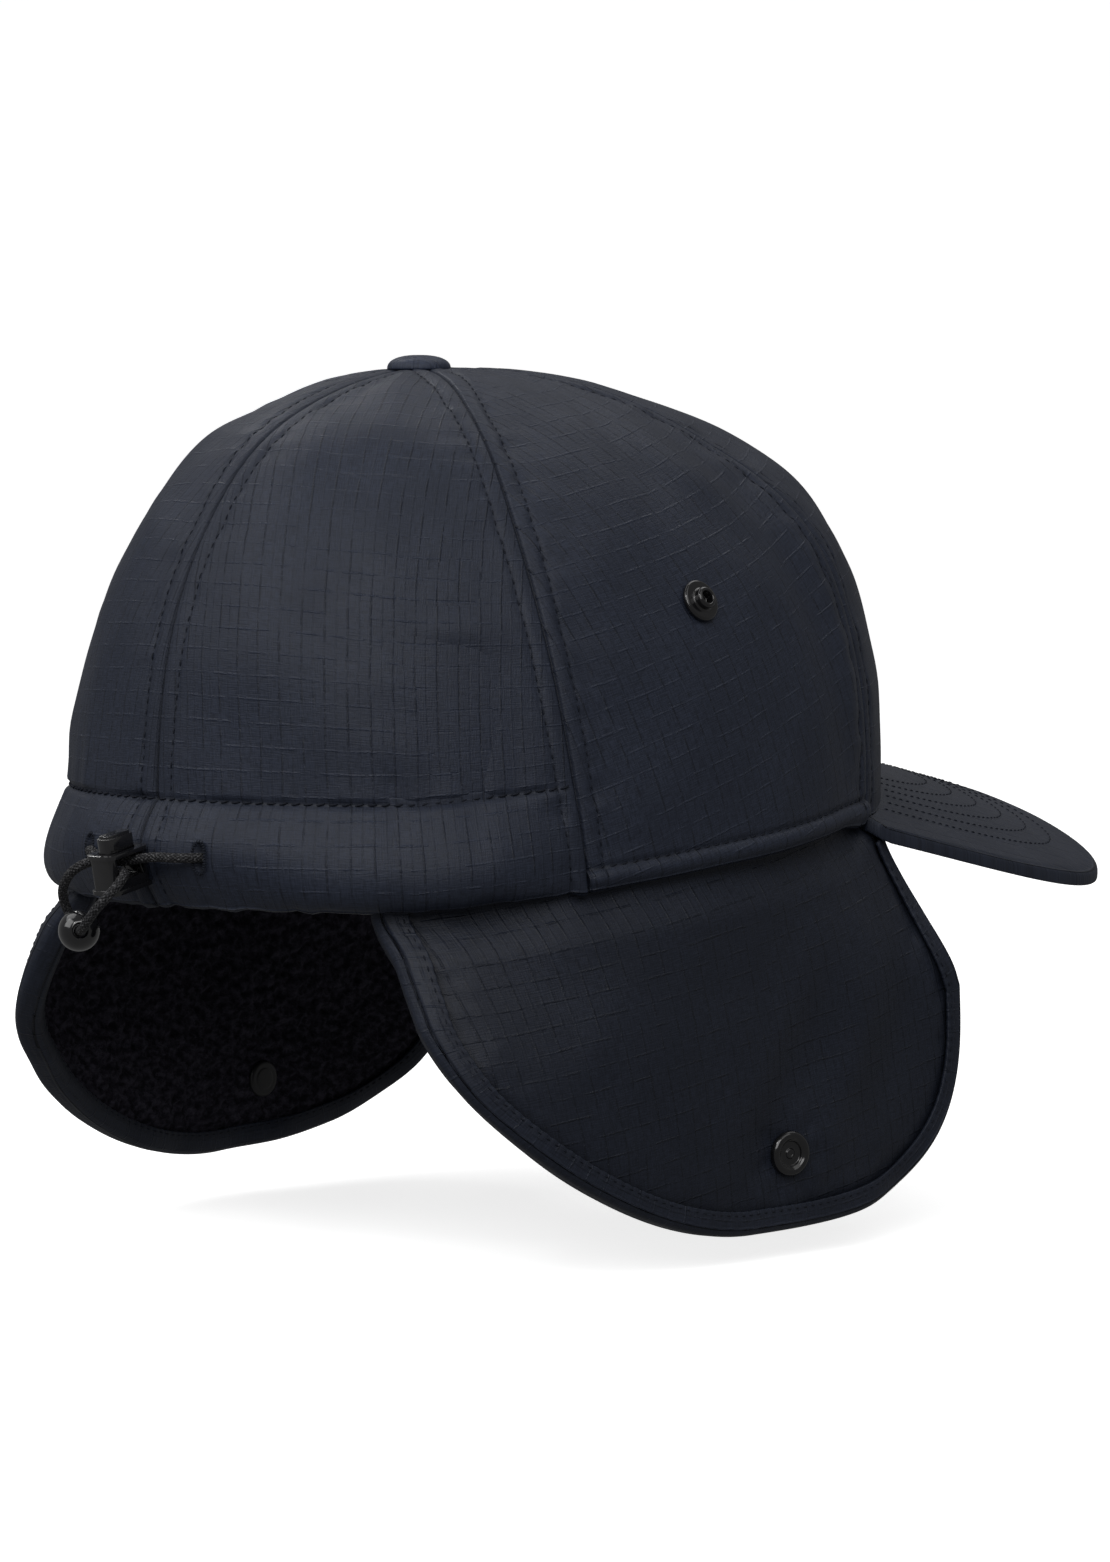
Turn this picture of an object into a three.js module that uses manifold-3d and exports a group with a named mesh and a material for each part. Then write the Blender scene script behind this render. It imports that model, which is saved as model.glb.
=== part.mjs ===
// Earflap cap with a drawcord at the back, in millimetres.
// +Z is up, the peak points to -Y and the wearer's right is -X.
// The origin is the middle of the head opening, level with the hem at the back.
import * as THREE from 'three';
import { mergeVertices } from 'three/addons/utils/BufferGeometryUtils.js';
import Module from 'manifold-3d';

const wasm = await Module();
wasm.setup();

// Driving dimensions, angles in degrees from the front round to the back
const gap = 0.3;
const crown = {
  halfWidth: 86, frontReach: 103, rearReach: 105, height: 120.3, topBack: 20.3,
  planPower: 2.1, wall: 1.6, hemRise: 21, topPinch: 0.05,
};
const hemRoll = { height: 4.8, bulge: 0.9 };
const casing = { height: 24, puff: 5.2, puffOver: 0.2, skin: 1.2, bottom: 3, top: 21 };
const peak = {
  halfWidth: 76.3, rootBack: 59, reach: 164.5, power: 4.9, thickness: 3.6, corner: 58, tongue: 1.8,
  ridge: 38.55, ridgeAt: 60, arch: 27.2, archWidth: 78, archPower: 1.79, slope: 0.23, columns: 22, rows: 7,
};
const flap = {
  middle: 4, halfLength: 80, wideLevel: -25, drop: 53, rearPower: 1.75, frontPower: 3,
  rearTop: 84, frontTop: -62, frontTopLevel: 7.5, cornerFrom: -44, cornerTo: -53, tuck: 4,
  inset: 4.8, stepFrom: 1, stepTo: 7, flattenOver: 40, flatWidth: 86, flatReach: 112, flatPower: 2.6,
  flare: 4, flareOver: 90,
};
const layer = {
  shellOut: 1.05, shellIn: 0.15, liningOut: -0.15, liningIn: -1.95,
  tape: 0.7, tapeGap: 0.6, backGap: 1, tapeWidth: 5.8, tapeSteps: 40,
};
const button = { radius: 7.2, height: 3.5, stem: 3.2 };
const cord = { radius: 1.1, sides: 8, steps: 50 };
const slot = {
  x: 16.9, level: 11.7, halfWidth: 2.7, halfHeight: 3.4, stitch: 0.7, raised: 0.4,
  ring: 16, squareness: 0.8,
};
const lock = {
  centre: [0, 115.8, 8.6], lean: 12, width: 7.6, depth: 11, height: 9.2,
  flange: 1, flangeOver: 0.6, cavityWidth: 5.2, cavityDepth: 9, floor: 0.6,
  holeDepth: 7.8, holeBottom: -1.6, holeTop: 3.6, corner: 1.2,
};
const plunger = {
  width: 4.6, depth: 8.4, above: 3.9, bottom: -2.2, corner: 1.6, edge: 0.6,
  holeDepth: 7, holeBottom: -1.5, holeTop: 4.4,
};
const bead = {
  centre: [9.3, 119.8, -5.6], radius: 4.75, hole: 1.6, axis: [-0.78, 0.62, 0.1], segments: 12, arcs: 8,
};
const stud = { angle: 91.5, share: 0.528, hole: 1.9, backGap: 0.6, backRadius: 3.8 };
const socket = { y: -11, level: -59, hole: 1.8 };

// Crown profiles: radius share to the power round, plus height share to the power rise, is 1
const profiles = {
  front: { round: 2.18, rise: 3.84 },
  side: { round: 2.11, rise: 2.2 },
  rear: { round: 1.7, rise: 3.45 },
};
// Seams of the crown: angle at the hem, and how far it swings towards the top
const seams = {
  front: { angle: 0, swing: 0, power: 1 },
  fore: { angle: 59.3, swing: -7.5, power: 1.2 },
  aft: { angle: 114.3, swing: 8.7, power: 1 },
  rear: { angle: 180, swing: 0, power: 1 },
};
const panels = [
  { name: 'crown_front', from: 'front', to: 'fore' },
  { name: 'crown_side', from: 'fore', to: 'aft' },
  { name: 'crown_rear', from: 'aft', to: 'rear' },
];
const sides = [{ name: 'right', sign: -1 }, { name: 'left', sign: 1 }];

const looks = {
  ripstop: { color: 0x252b35, roughness: 0.75, metalness: 0 },
  fleece: { color: 0x0d0e12, roughness: 1, metalness: 0 },
  tape: { color: 0x222833, roughness: 0.7, metalness: 0 },
  plastic: { color: 0x16171a, roughness: 0.35, metalness: 0 },
  snapMetal: { color: 0x1b1c20, roughness: 0.3, metalness: 0.8 },
  braid: { color: 0x17181c, roughness: 0.8, metalness: 0 },
};

const { clamp, degToRad, lerp, smoothstep } = THREE.MathUtils;
const signedPower = (v, e) => Math.sign(v) * Math.abs(v) ** e;
const point = (x, y, z) => new THREE.Vector3(x, y, z);
const cap = new THREE.Group();

function addPiece(name, geometry, look, parent = cap) {
  const mesh = new THREE.Mesh(geometry, new THREE.MeshStandardMaterial(looks[look]));
  mesh.name = name;
  parent.add(mesh);
  return mesh;
}

// Closed meshes
function closedMesh(vertices, triangles) {
  let volume = 0;
  for (const [a, b, c] of triangles) {
    volume += vertices[a].dot(vertices[b].clone().cross(vertices[c])) / 6;
  }
  const turned = volume < 0 ? triangles.map(([a, b, c]) => [a, c, b]) : triangles;
  const geometry = new THREE.BufferGeometry();
  const numbers = vertices.flatMap((v) => v.toArray());
  geometry.setAttribute('position', new THREE.Float32BufferAttribute(numbers, 3));
  geometry.setIndex(turned.flat());
  return geometry;
}

// A slab between two surfaces, each a function of a column share and a row share
function slab(outer, inner, columns, rows) {
  const vertices = [];
  for (const surface of [outer, inner]) {
    for (let i = 0; i <= columns; i += 1) {
      for (let j = 0; j <= rows; j += 1) vertices.push(surface(i / columns, j / rows));
    }
  }
  const at = (layerIndex, i, j) => layerIndex * (columns + 1) * (rows + 1) + i * (rows + 1) + j;
  const triangles = [];
  const quad = (a, b, c, d) => triangles.push([a, b, c], [a, c, d]);
  for (let i = 0; i < columns; i += 1) {
    for (let j = 0; j < rows; j += 1) {
      quad(at(0, i, j), at(0, i + 1, j), at(0, i + 1, j + 1), at(0, i, j + 1));
      quad(at(1, i, j), at(1, i, j + 1), at(1, i + 1, j + 1), at(1, i + 1, j));
    }
    quad(at(0, i, 0), at(1, i, 0), at(1, i + 1, 0), at(0, i + 1, 0));
    quad(at(0, i, rows), at(0, i + 1, rows), at(1, i + 1, rows), at(1, i, rows));
  }
  for (let j = 0; j < rows; j += 1) {
    quad(at(0, 0, j), at(0, 0, j + 1), at(1, 0, j + 1), at(1, 0, j));
    quad(at(0, columns, j), at(1, columns, j), at(1, columns, j + 1), at(0, columns, j + 1));
  }
  return closedMesh(vertices, triangles);
}

// A section carried through stations; open ends are capped, closed runs join up
function sweep(station, steps, section, closed) {
  const count = section.length;
  const vertices = [];
  const rings = closed ? steps : steps + 1;
  for (let i = 0; i < rings; i += 1) {
    for (const [u, v] of section) vertices.push(station(i / steps, u, v));
  }
  const triangles = [];
  for (let i = 0; i < steps; i += 1) {
    const next = (i + 1) % rings;
    for (let k = 0; k < count; k += 1) {
      const l = (k + 1) % count;
      triangles.push([i * count + k, next * count + k, next * count + l]);
      triangles.push([i * count + k, next * count + l, i * count + l]);
    }
  }
  if (!closed) {
    const faces = THREE.ShapeUtils.triangulateShape(section.map(([u, v]) => new THREE.Vector2(u, v)), []);
    const last = (rings - 1) * count;
    const turn = THREE.ShapeUtils.area(section.map(([u, v]) => new THREE.Vector2(u, v))) > 0;
    for (const [a, b, c] of faces) {
      triangles.push(turn ? [a, b, c] : [a, c, b]);
      triangles.push(turn ? [last + a, last + c, last + b] : [last + a, last + b, last + c]);
    }
  }
  return closedMesh(vertices, triangles);
}

// Joining and cutting
function solidOf(geometry) {
  const bare = geometry.clone();
  bare.deleteAttribute('normal');
  bare.deleteAttribute('uv');
  const merged = mergeVertices(bare, 1e-4);
  return new wasm.Manifold(new wasm.Mesh({
    numProp: 3,
    vertProperties: new Float32Array(merged.attributes.position.array),
    triVerts: new Uint32Array(merged.index.array),
  }));
}

function geometryOf(solid) {
  const mesh = solid.getMesh();
  const geometry = new THREE.BufferGeometry();
  geometry.setAttribute('position', new THREE.Float32BufferAttribute(mesh.vertProperties, 3));
  geometry.setIndex(Array.from(mesh.triVerts));
  return geometry;
}

const cut = (geometry, ...tools) => geometryOf(
  tools.reduce((solid, tool) => solid.subtract(solidOf(tool)), solidOf(geometry)),
);
const join = (...geometries) => geometryOf(geometries.map(solidOf).reduce((a, b) => a.add(b)));

function turnTo(geometry, position, direction) {
  const turn = new THREE.Quaternion().setFromUnitVectors(point(0, 1, 0), direction);
  return geometry.applyQuaternion(turn).translate(position.x, position.y, position.z);
}

const drill = (radius, position, direction) => (
  turnTo(new THREE.CylinderGeometry(radius, radius, 12, 16), position, direction)
);

// Crown surface
const peakTop = (x, y) => (
  peak.ridge - peak.arch * Math.abs(x / peak.archWidth) ** peak.archPower - peak.slope * (-y - peak.ridgeAt)
);

function hemPlan(t) {
  const reach = Math.cos(t) > 0 ? crown.frontReach : crown.rearReach;
  const e = 2 / crown.planPower;
  return [crown.halfWidth * signedPower(Math.sin(t), e), -reach * signedPower(Math.cos(t), e)];
}

const risingHem = (cosine) => crown.hemRise * clamp((0.75 + cosine) / 1.75, 0, 1);

function hemHeight(t) {
  if (t < degToRad(peak.corner)) return peakTop(...hemPlan(t)) + gap;
  return risingHem(Math.cos(t));
}

function profile(t) {
  const ahead = 0.5 * (1 + Math.cos(t));
  const aside = Math.sin(t) ** 2;
  const mix = (key) => (1 - aside) * (profiles.rear[key] * (1 - ahead) + profiles.front[key] * ahead)
    + profiles.side[key] * aside;
  return { round: mix('round'), rise: mix('rise') };
}

function crownBase(sign, t, h) {
  const { round, rise } = profile(t);
  const radius = clamp(1 - h ** rise, 0, 1) ** (1 / round);
  const [x, y] = hemPlan(t);
  const hem = hemHeight(t);
  return point(sign * x * radius, y * radius + crown.topBack * (1 - radius), lerp(hem, crown.height, h));
}

function crownNormal(sign, t, h) {
  const step = 1e-3;
  const low = clamp(h, step, 1 - 2 * step);
  const along = crownBase(sign, t + step, low).sub(crownBase(sign, t - step, low));
  const up = crownBase(sign, t, low + step).sub(crownBase(sign, t, low - step));
  return along.cross(up).multiplyScalar(sign).normalize();
}

const heightAbove = (t, h) => h * (crown.height - hemHeight(t));

function casingPuff(t, h) {
  const above = heightAbove(t, h);
  const reach = clamp((Math.cos(degToRad(seams.aft.angle)) - Math.cos(t)) / casing.puffOver, 0, 1);
  return above < casing.height ? casing.puff * reach * Math.sin(Math.PI * above / casing.height) : 0;
}

function rollBulge(t, h) {
  const above = heightAbove(t, h);
  return above < hemRoll.height ? hemRoll.bulge * Math.sin(Math.PI * above / hemRoll.height) : 0;
}

const flatFront = () => 0;
const bulges = { crown_front: flatFront, crown_side: rollBulge, crown_rear: casingPuff };

function crownPoint(sign, t, h, offset) {
  return crownBase(sign, t, h).addScaledVector(crownNormal(sign, t, h), offset);
}

// Rows up the crown: first by millimetres above the hem, then by equal steps over the top
const lowRows = [0, 1.6, 3.2, 4.8, 10, 16, 21, 25];
const highRows = 7;
const rowCount = lowRows.length - 1 + highRows;

function rowHeight(t, row) {
  const { round, rise } = profile(t);
  const rowIndex = Math.round(row * rowCount);
  const span = crown.height - hemHeight(t);
  if (rowIndex < lowRows.length) return lowRows[rowIndex] / span;
  const climb = (h) => Math.asin(h ** (rise / 2));
  const start = climb(lowRows.at(-1) / span);
  const end = Math.acos(crown.topPinch ** (round / 2));
  const w = lerp(start, end, (rowIndex - lowRows.length + 1) / highRows);
  return Math.sin(w) ** (2 / rise);
}

const seamAngle = (seam, h) => degToRad(seam.angle + seam.swing * h ** seam.power);

function panelGeometry(panel, sign) {
  const place = (column, row, offset) => {
    const guess = degToRad(lerp(seams[panel.from].angle, seams[panel.to].angle, column));
    const rough = rowHeight(guess, row);
    const near = lerp(seamAngle(seams[panel.from], rough), seamAngle(seams[panel.to], rough), column);
    const h = rowHeight(near, row);
    const start = seamAngle(seams[panel.from], h);
    const end = seamAngle(seams[panel.to], h);
    const t = lerp(start, end, column);
    const arc = crownBase(sign, t + 1e-3, h).distanceTo(crownBase(sign, t - 1e-3, h)) / 2e-3;
    const trim = (gap / 2) / arc * (1 - 2 * column);
    return crownPoint(sign, t + trim, h, offset(t, h));
  };
  return slab(
    (column, row) => place(column, row, bulges[panel.name]),
    (column, row) => place(column, row, () => -crown.wall),
    7, rowCount,
  );
}

// Drawcord casing: the tunnel behind the skin of a rear panel, and the slot that the cord comes out of
function tunnelGeometry(sign) {
  const place = (column, row, offset) => {
    const t = degToRad(lerp(seams.aft.angle + 5, 181, column));
    const h = lerp(casing.bottom, casing.top, row) / (crown.height - hemHeight(t));
    return crownPoint(sign, t, h, offset(t, h));
  };
  return slab(
    (column, row) => place(column, row, (t, h) => Math.max(casingPuff(t, h) - casing.skin, 0.12)),
    (column, row) => place(column, row, () => 0),
    8, 4,
  );
}

const slotAngle = Math.PI - Math.asin((slot.x / crown.halfWidth) ** (crown.planPower / 2));

// A point of a ring of the slot's shape, grown outwards by a width and set off the skin by a height
function slotPoint(sign, turn, grow, offset) {
  const angle = 2 * Math.PI * turn;
  const across = (slot.halfWidth + grow) * signedPower(Math.cos(angle), slot.squareness);
  const up = (slot.halfHeight + grow) * signedPower(Math.sin(angle), slot.squareness);
  const t = slotAngle + across / crown.halfWidth;
  const h = (slot.level + up) / crown.height;
  return crownPoint(sign, t, h, casingPuff(t, h) + offset);
}

function slotCutter(sign) {
  const ring = slot.ring;
  const vertices = [];
  for (const offset of [-2.2, 1.5]) {
    for (let i = 0; i < ring; i += 1) vertices.push(slotPoint(sign, i / ring, 0, offset));
  }
  vertices.push(slotPoint(sign, 0, -slot.halfWidth, -2.2), slotPoint(sign, 0, -slot.halfWidth, 1.5));
  const triangles = [];
  for (let i = 0; i < ring; i += 1) {
    const j = (i + 1) % ring;
    triangles.push([i, j, ring + j], [i, ring + j, ring + i]);
    triangles.push([2 * ring, j, i], [2 * ring + 1, ring + i, ring + j]);
  }
  return closedMesh(vertices, triangles);
}

const buttonhole = (sign) => sweep(
  (turn, grow, offset) => slotPoint(sign, turn, grow, offset), slot.ring,
  [[0, gap], [slot.stitch, gap], [slot.stitch, slot.raised], [0.2, slot.raised + gap]], true,
);

// Snap hardware, turned about its axis; height 0 is the surface that it is set on
function turned(profilePoints, segments = 12) {
  return new THREE.LatheGeometry(profilePoints.map(([r, y]) => new THREE.Vector2(r, y)), segments);
}

const studBack = -crown.wall - stud.backGap;
const studTurning = turned([
  [0, studBack - 0.8], [stud.backRadius, studBack - 0.8], [stud.backRadius, studBack], [1.6, studBack],
  [1.6, gap], [5, gap], [5, 0.9], [4.6, 1.3], [2.9, 1.3], [2.6, 1.6], [2.6, 2.7], [2.2, 3.1],
  [1.7, 3.1], [1.5, 2.8], [1.5, 0.9], [0, 0.9],
]);
const stack = layer.shellOut - layer.liningIn;
const socketTurning = turned([
  [0, -stack - gap - 0.2], [1.5, -stack - gap - 0.2], [1.5, gap], [5.25, gap], [5.25, 1.3], [4.7, 1.9],
  [3.6, 1.9], [2.9, 1.4], [2.9, 0.7], [0.9, 0.7], [0.7, 1.2], [0, 1.2],
]);
const capTurning = turned([
  [0, 0.5], [1.8, 0.5], [1.8, 0], [4, 0], [4.25, 0.3], [4, 0.9], [3, 1.2], [0, 1.2],
]);

// Crown
const studAngle = degToRad(stud.angle);
for (const { name, sign } of sides) {
  for (const panel of panels) {
    let geometry = panelGeometry(panel, sign);
    if (panel.name === 'crown_side') {
      const at = crownPoint(sign, studAngle, stud.share, 0);
      geometry = cut(geometry, drill(stud.hole, at, crownNormal(sign, studAngle, stud.share)));
    }
    if (panel.name === 'crown_rear') geometry = cut(geometry, tunnelGeometry(sign), slotCutter(sign));
    addPiece(`${panel.name}_${name}`, geometry, 'ripstop');
  }
  const post = addPiece(`crown_stud_${name}`, studTurning.clone(), 'snapMetal');
  post.position.copy(crownPoint(sign, studAngle, stud.share, 0));
  post.quaternion.setFromUnitVectors(point(0, 1, 0), crownNormal(sign, studAngle, stud.share));
  addPiece(`buttonhole_${name}`, buttonhole(sign), 'tape');
}

const topButton = addPiece('top_button', turned([
  [0, -4], [button.stem, -4], [button.stem, gap], [button.radius, gap], [button.radius, 1.2], [6.6, 2.3],
  [5, 3.1], [2.6, button.height], [0, button.height + 0.1],
]), 'ripstop');
topButton.rotation.x = Math.PI / 2;
topButton.position.set(0, crown.topBack, crown.height);

// Peak: an arched sheet between the front hem and a squarish front edge
function peakPlan(a, s) {
  const t = Math.abs(a) * degToRad(peak.corner);
  const [hemX, hemY] = hemPlan(t);
  const angle = Math.abs(a) * Math.PI / 2;
  const ray = (Math.sin(angle) ** peak.power + Math.cos(angle) ** peak.power) ** (-1 / peak.power);
  const edgeX = peak.halfWidth * ray * Math.sin(angle);
  const edgeY = -peak.rootBack - (peak.reach - peak.rootBack) * ray * Math.cos(angle);
  return [Math.sign(a) * lerp(hemX, edgeX, s), lerp(hemY, edgeY, s)];
}

function peakPoint(a, row, drop) {
  if (row === 0) {
    const [x, y] = peakPlan(a, 0);
    const inward = 1 - peak.tongue / Math.hypot(x, y);
    return point(x * inward, y * inward, peakTop(x, y) - drop);
  }
  const [x, y] = peakPlan(a, (row * peak.rows - 1) / (peak.rows - 1));
  return point(x, y, peakTop(x, y) - drop);
}

addPiece('peak', slab(
  (column, row) => peakPoint(2 * column - 1, row, 0),
  (column, row) => peakPoint(2 * column - 1, row, peak.thickness),
  peak.columns, peak.rows,
), 'ripstop');

// Flaps: a surface x over y and z, which leaves the hem and flattens as it hangs
function ovalWidth(y, width, frontReach, rearReach, power) {
  const reach = y < 0 ? frontReach : rearReach;
  return width * (1 - Math.min(Math.abs(y) / reach, 0.999) ** power) ** (1 / power);
}

function flapHem(y) {
  const reach = y < 0 ? crown.frontReach : crown.rearReach;
  return risingHem(-signedPower(y / reach, crown.planPower / 2));
}

function flapWidth(y, z) {
  const depth = Math.max(flapHem(y) - z, 0);
  const hemOval = (inset) => ovalWidth(
    y, crown.halfWidth - inset, crown.frontReach - inset, crown.rearReach - inset, crown.planPower,
  );
  const flat = ovalWidth(Math.max(y, 0), flap.flatWidth, 1, flap.flatReach, flap.flatPower);
  const flared = flat + flap.flare * depth / flap.flareOver;
  return hemOval(flap.inset) + flap.inset * smoothstep(depth, flap.stepFrom, flap.stepTo)
    + (flared - hemOval(0)) * smoothstep(depth, flap.stepFrom, flap.flattenOver);
}

function flapPoint(sign, y, z, offset) {
  const step = 0.5;
  const slopeY = (flapWidth(y + step, z) - flapWidth(y - step, z)) / (2 * step);
  const slopeZ = (flapWidth(y, z + step) - flapWidth(y, z - step)) / (2 * step);
  const normal = point(1, -slopeY, -slopeZ).normalize();
  const place = point(flapWidth(y, z), y, z).addScaledVector(normal, offset);
  return point(sign * place.x, place.y, place.z);
}

// The flap's outline in y and z: down the rear edge, round the bottom, up the front edge
function flapTop(share) {
  const y = lerp(flap.rearTop, flap.frontTop, share);
  const corner = clamp((y - flap.cornerFrom) / (flap.cornerTo - flap.cornerFrom), 0, 1);
  return [y, lerp(flapHem(y) + flap.tuck, flap.frontTopLevel, corner)];
}

function flapEdge(share) {
  const angle = (share - 0.5) * Math.PI;
  const power = angle < 0 ? flap.rearPower : flap.frontPower;
  const ray = (Math.abs(Math.sin(angle)) ** power + Math.cos(angle) ** power) ** (-1 / power);
  return [
    flap.middle - flap.halfLength * ray * Math.sin(angle),
    flap.wideLevel - flap.drop * ray * Math.cos(angle),
  ];
}

// The whole sewn edge as one run: a share of each side edge, then the round bottom between them
const sideShare = 0.12;
function sewnEdge(share) {
  const top = share < 0.5 ? flapTop(0) : flapTop(1);
  const low = flapEdge(share < 0.5 ? 0 : 1);
  if (share < sideShare || share > 1 - sideShare) {
    const s = Math.min(share, 1 - share) / sideShare;
    return [lerp(top[0], low[0], s), lerp(top[1], low[1], s)];
  }
  return flapEdge((share - sideShare) / (1 - 2 * sideShare));
}

function inward(share, distance) {
  const a = sewnEdge(Math.max(share - 0.01, 0));
  const b = sewnEdge(Math.min(share + 0.01, 1));
  const length = Math.hypot(b[0] - a[0], b[1] - a[1]);
  const [y, z] = sewnEdge(share);
  return [y + distance * (b[1] - a[1]) / length, z - distance * (b[0] - a[0]) / length];
}

function flapGrid(sign, offset) {
  const tapeRoom = layer.tape + layer.tapeGap;
  return (column, row) => {
    const low = inward(lerp(sideShare, 1 - sideShare, column), tapeRoom);
    const high = flapTop(column);
    high[0] += tapeRoom * (2 * column - 1);
    return flapPoint(sign, lerp(high[0], low[0], row), lerp(high[1], low[1], row), offset);
  };
}

const tapeOut = layer.shellOut + layer.tapeGap;
const tapeIn = layer.liningIn - layer.backGap;
const tapeSection = [
  [0, tapeIn - layer.tape], [0, tapeOut + layer.tape], [layer.tapeWidth, tapeOut + layer.tape],
  [layer.tapeWidth, tapeOut], [layer.tape, tapeOut], [layer.tape, tapeIn], [layer.tapeWidth, tapeIn],
  [layer.tapeWidth, tapeIn - layer.tape],
];

for (const { name, sign } of sides) {
  const seat = flapPoint(sign, socket.y, socket.level, 0);
  const outward = flapPoint(sign, socket.y, socket.level, 1).sub(seat);
  const hole = drill(socket.hole, seat, outward);
  const shell = slab(flapGrid(sign, layer.shellOut), flapGrid(sign, layer.shellIn), 18, 5);
  const lining = slab(flapGrid(sign, layer.liningOut), flapGrid(sign, layer.liningIn), 18, 5);
  addPiece(`flap_shell_${name}`, cut(shell, hole), 'ripstop');
  addPiece(`flap_lining_${name}`, cut(lining, hole), 'fleece');
  addPiece(`flap_binding_${name}`, sweep((share, distance, offset) => {
    const [y, z] = inward(share, distance);
    return flapPoint(sign, y, z, offset);
  }, layer.tapeSteps, tapeSection, false), 'tape');
  const ring = addPiece(`flap_socket_${name}`, socketTurning.clone(), 'snapMetal');
  ring.position.copy(seat).addScaledVector(outward, layer.shellOut);
  ring.quaternion.setFromUnitVectors(point(0, 1, 0), outward);
  const back = addPiece(`flap_socket_cap_${name}`, capTurning.clone(), 'snapMetal');
  back.position.copy(seat).addScaledVector(outward, layer.liningIn - gap);
  back.quaternion.setFromUnitVectors(point(0, 1, 0), outward.clone().negate());
}

// Cord lock: a body with two flanges and a sprung plunger, leaning with the casing behind it
function roundedPlate(width, depth, corner, bottom, top) {
  const x = width / 2;
  const y = depth / 2;
  const shape = new THREE.Shape();
  shape.moveTo(-x + corner, -y);
  shape.lineTo(x - corner, -y);
  shape.absarc(x - corner, -y + corner, corner, -Math.PI / 2, 0);
  shape.lineTo(x, y - corner);
  shape.absarc(x - corner, y - corner, corner, 0, Math.PI / 2);
  shape.lineTo(-x + corner, y);
  shape.absarc(-x + corner, y - corner, corner, Math.PI / 2, Math.PI);
  shape.lineTo(-x, -y + corner);
  shape.absarc(-x + corner, -y + corner, corner, Math.PI, 1.5 * Math.PI);
  return new THREE.ExtrudeGeometry(shape, { depth: top - bottom, bevelEnabled: false, curveSegments: 2 })
    .translate(0, 0, bottom);
}

const crossHole = (depth, bottom, top) => (
  new THREE.BoxGeometry(20, depth, top - bottom).translate(0, 0, (top + bottom) / 2)
);
const lockBottom = -lock.height / 2;
const lockTop = lock.height / 2;
const flangeWidth = lock.width + 2 * lock.flangeOver;
const flangeDepth = lock.depth + 2 * lock.flangeOver;
const lockGroup = new THREE.Group();
lockGroup.position.set(...lock.centre);
lockGroup.rotation.x = -degToRad(lock.lean);
cap.add(lockGroup);
const flangePlate = (bottom) => (
  roundedPlate(flangeWidth, flangeDepth, lock.corner + 0.5, bottom, bottom + lock.flange)
);
const cavity = roundedPlate(
  lock.cavityWidth, lock.cavityDepth, plunger.corner + 0.1, lockBottom + lock.floor, lockTop + 1,
);
addPiece('cord_lock_body', cut(
  join(
    roundedPlate(lock.width, lock.depth, lock.corner, lockBottom + 0.5, lockTop - 0.5),
    flangePlate(lockBottom), flangePlate(lockTop - lock.flange),
  ),
  cavity, crossHole(lock.holeDepth, lock.holeBottom, lock.holeTop),
), 'plastic', lockGroup);

const knobTop = lockTop + plunger.above;
const stem = roundedPlate(
  plunger.width, plunger.depth, plunger.corner, plunger.bottom, knobTop - plunger.edge,
);
const knobFace = roundedPlate(
  plunger.width - 2 * plunger.edge, plunger.depth - 2 * plunger.edge, plunger.corner - plunger.edge,
  knobTop - 2 * plunger.edge, knobTop,
);
addPiece('cord_lock_plunger', cut(
  join(stem, knobFace), crossHole(plunger.holeDepth, plunger.holeBottom, plunger.holeTop),
), 'plastic', lockGroup);

// Bead, with a hole right through it
const beadEnd = Math.sqrt(bead.radius ** 2 - bead.hole ** 2);
const beadArc = [];
for (let i = 0; i <= bead.arcs; i += 1) {
  const angle = lerp(Math.atan2(-beadEnd, bead.hole), Math.atan2(beadEnd, bead.hole), i / bead.arcs);
  beadArc.push([bead.radius * Math.cos(angle), bead.radius * Math.sin(angle)]);
}
const ball = addPiece('cord_bead', turned([...beadArc, beadArc[0]], bead.segments), 'plastic');
ball.position.set(...bead.centre);
ball.quaternion.setFromUnitVectors(point(0, 1, 0), point(...bead.axis).normalize());

// Drawcord: out of the right slot, through the lock, round through the bead and back to the left slot
const cordRoute = [
  [-22.9, 104, 11.7], [-19.6, 104.9, 11.7], [-18, 106.5, 11.7], [-17.1, 108.2, 11.7], [-16.2, 110, 11.7],
  [-14.9, 111.3, 11.7], [-13, 112.1, 11.7], [-9.8, 112.8, 11.7], [-6.2, 113.5, 11.4], [-2.6, 114.2, 10.8],
  [0.8, 115.1, 10.3], [4, 116.7, 10.4], [7.6, 118.8, 9.8], [11.3, 119.8, 7.8], [14.7, 119, 5.2],
  [17.4, 117.5, 2.6], [18.9, 115.5, -0.2], [18.7, 114, -3.3], [17.1, 114, -5.4], [14.4, 115.6, -6.4],
  [9.3, 119.8, -5.6], [4.9, 123.2, -5.1], [1.7, 125.4, -4.1], [-1.4, 126.6, -2], [-4.1, 126.8, 0.5],
  [-6.6, 125.7, 3.4], [-7.7, 123.3, 6.1], [-6.7, 120.6, 7.9], [-4, 118.4, 8.2], [-0.6, 117.6, 8.1],
  [2.6, 117.3, 8], [5.8, 115.7, 8.2], [9.4, 113.5, 9.8], [13, 112.1, 11.6], [14.9, 111.3, 11.7],
  [16.2, 110, 11.7], [17.1, 108.2, 11.7], [18, 106.5, 11.7], [19.6, 104.9, 11.7], [22.9, 104, 11.7],
].map((p) => point(...p));
const cordSection = new THREE.Shape();
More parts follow.
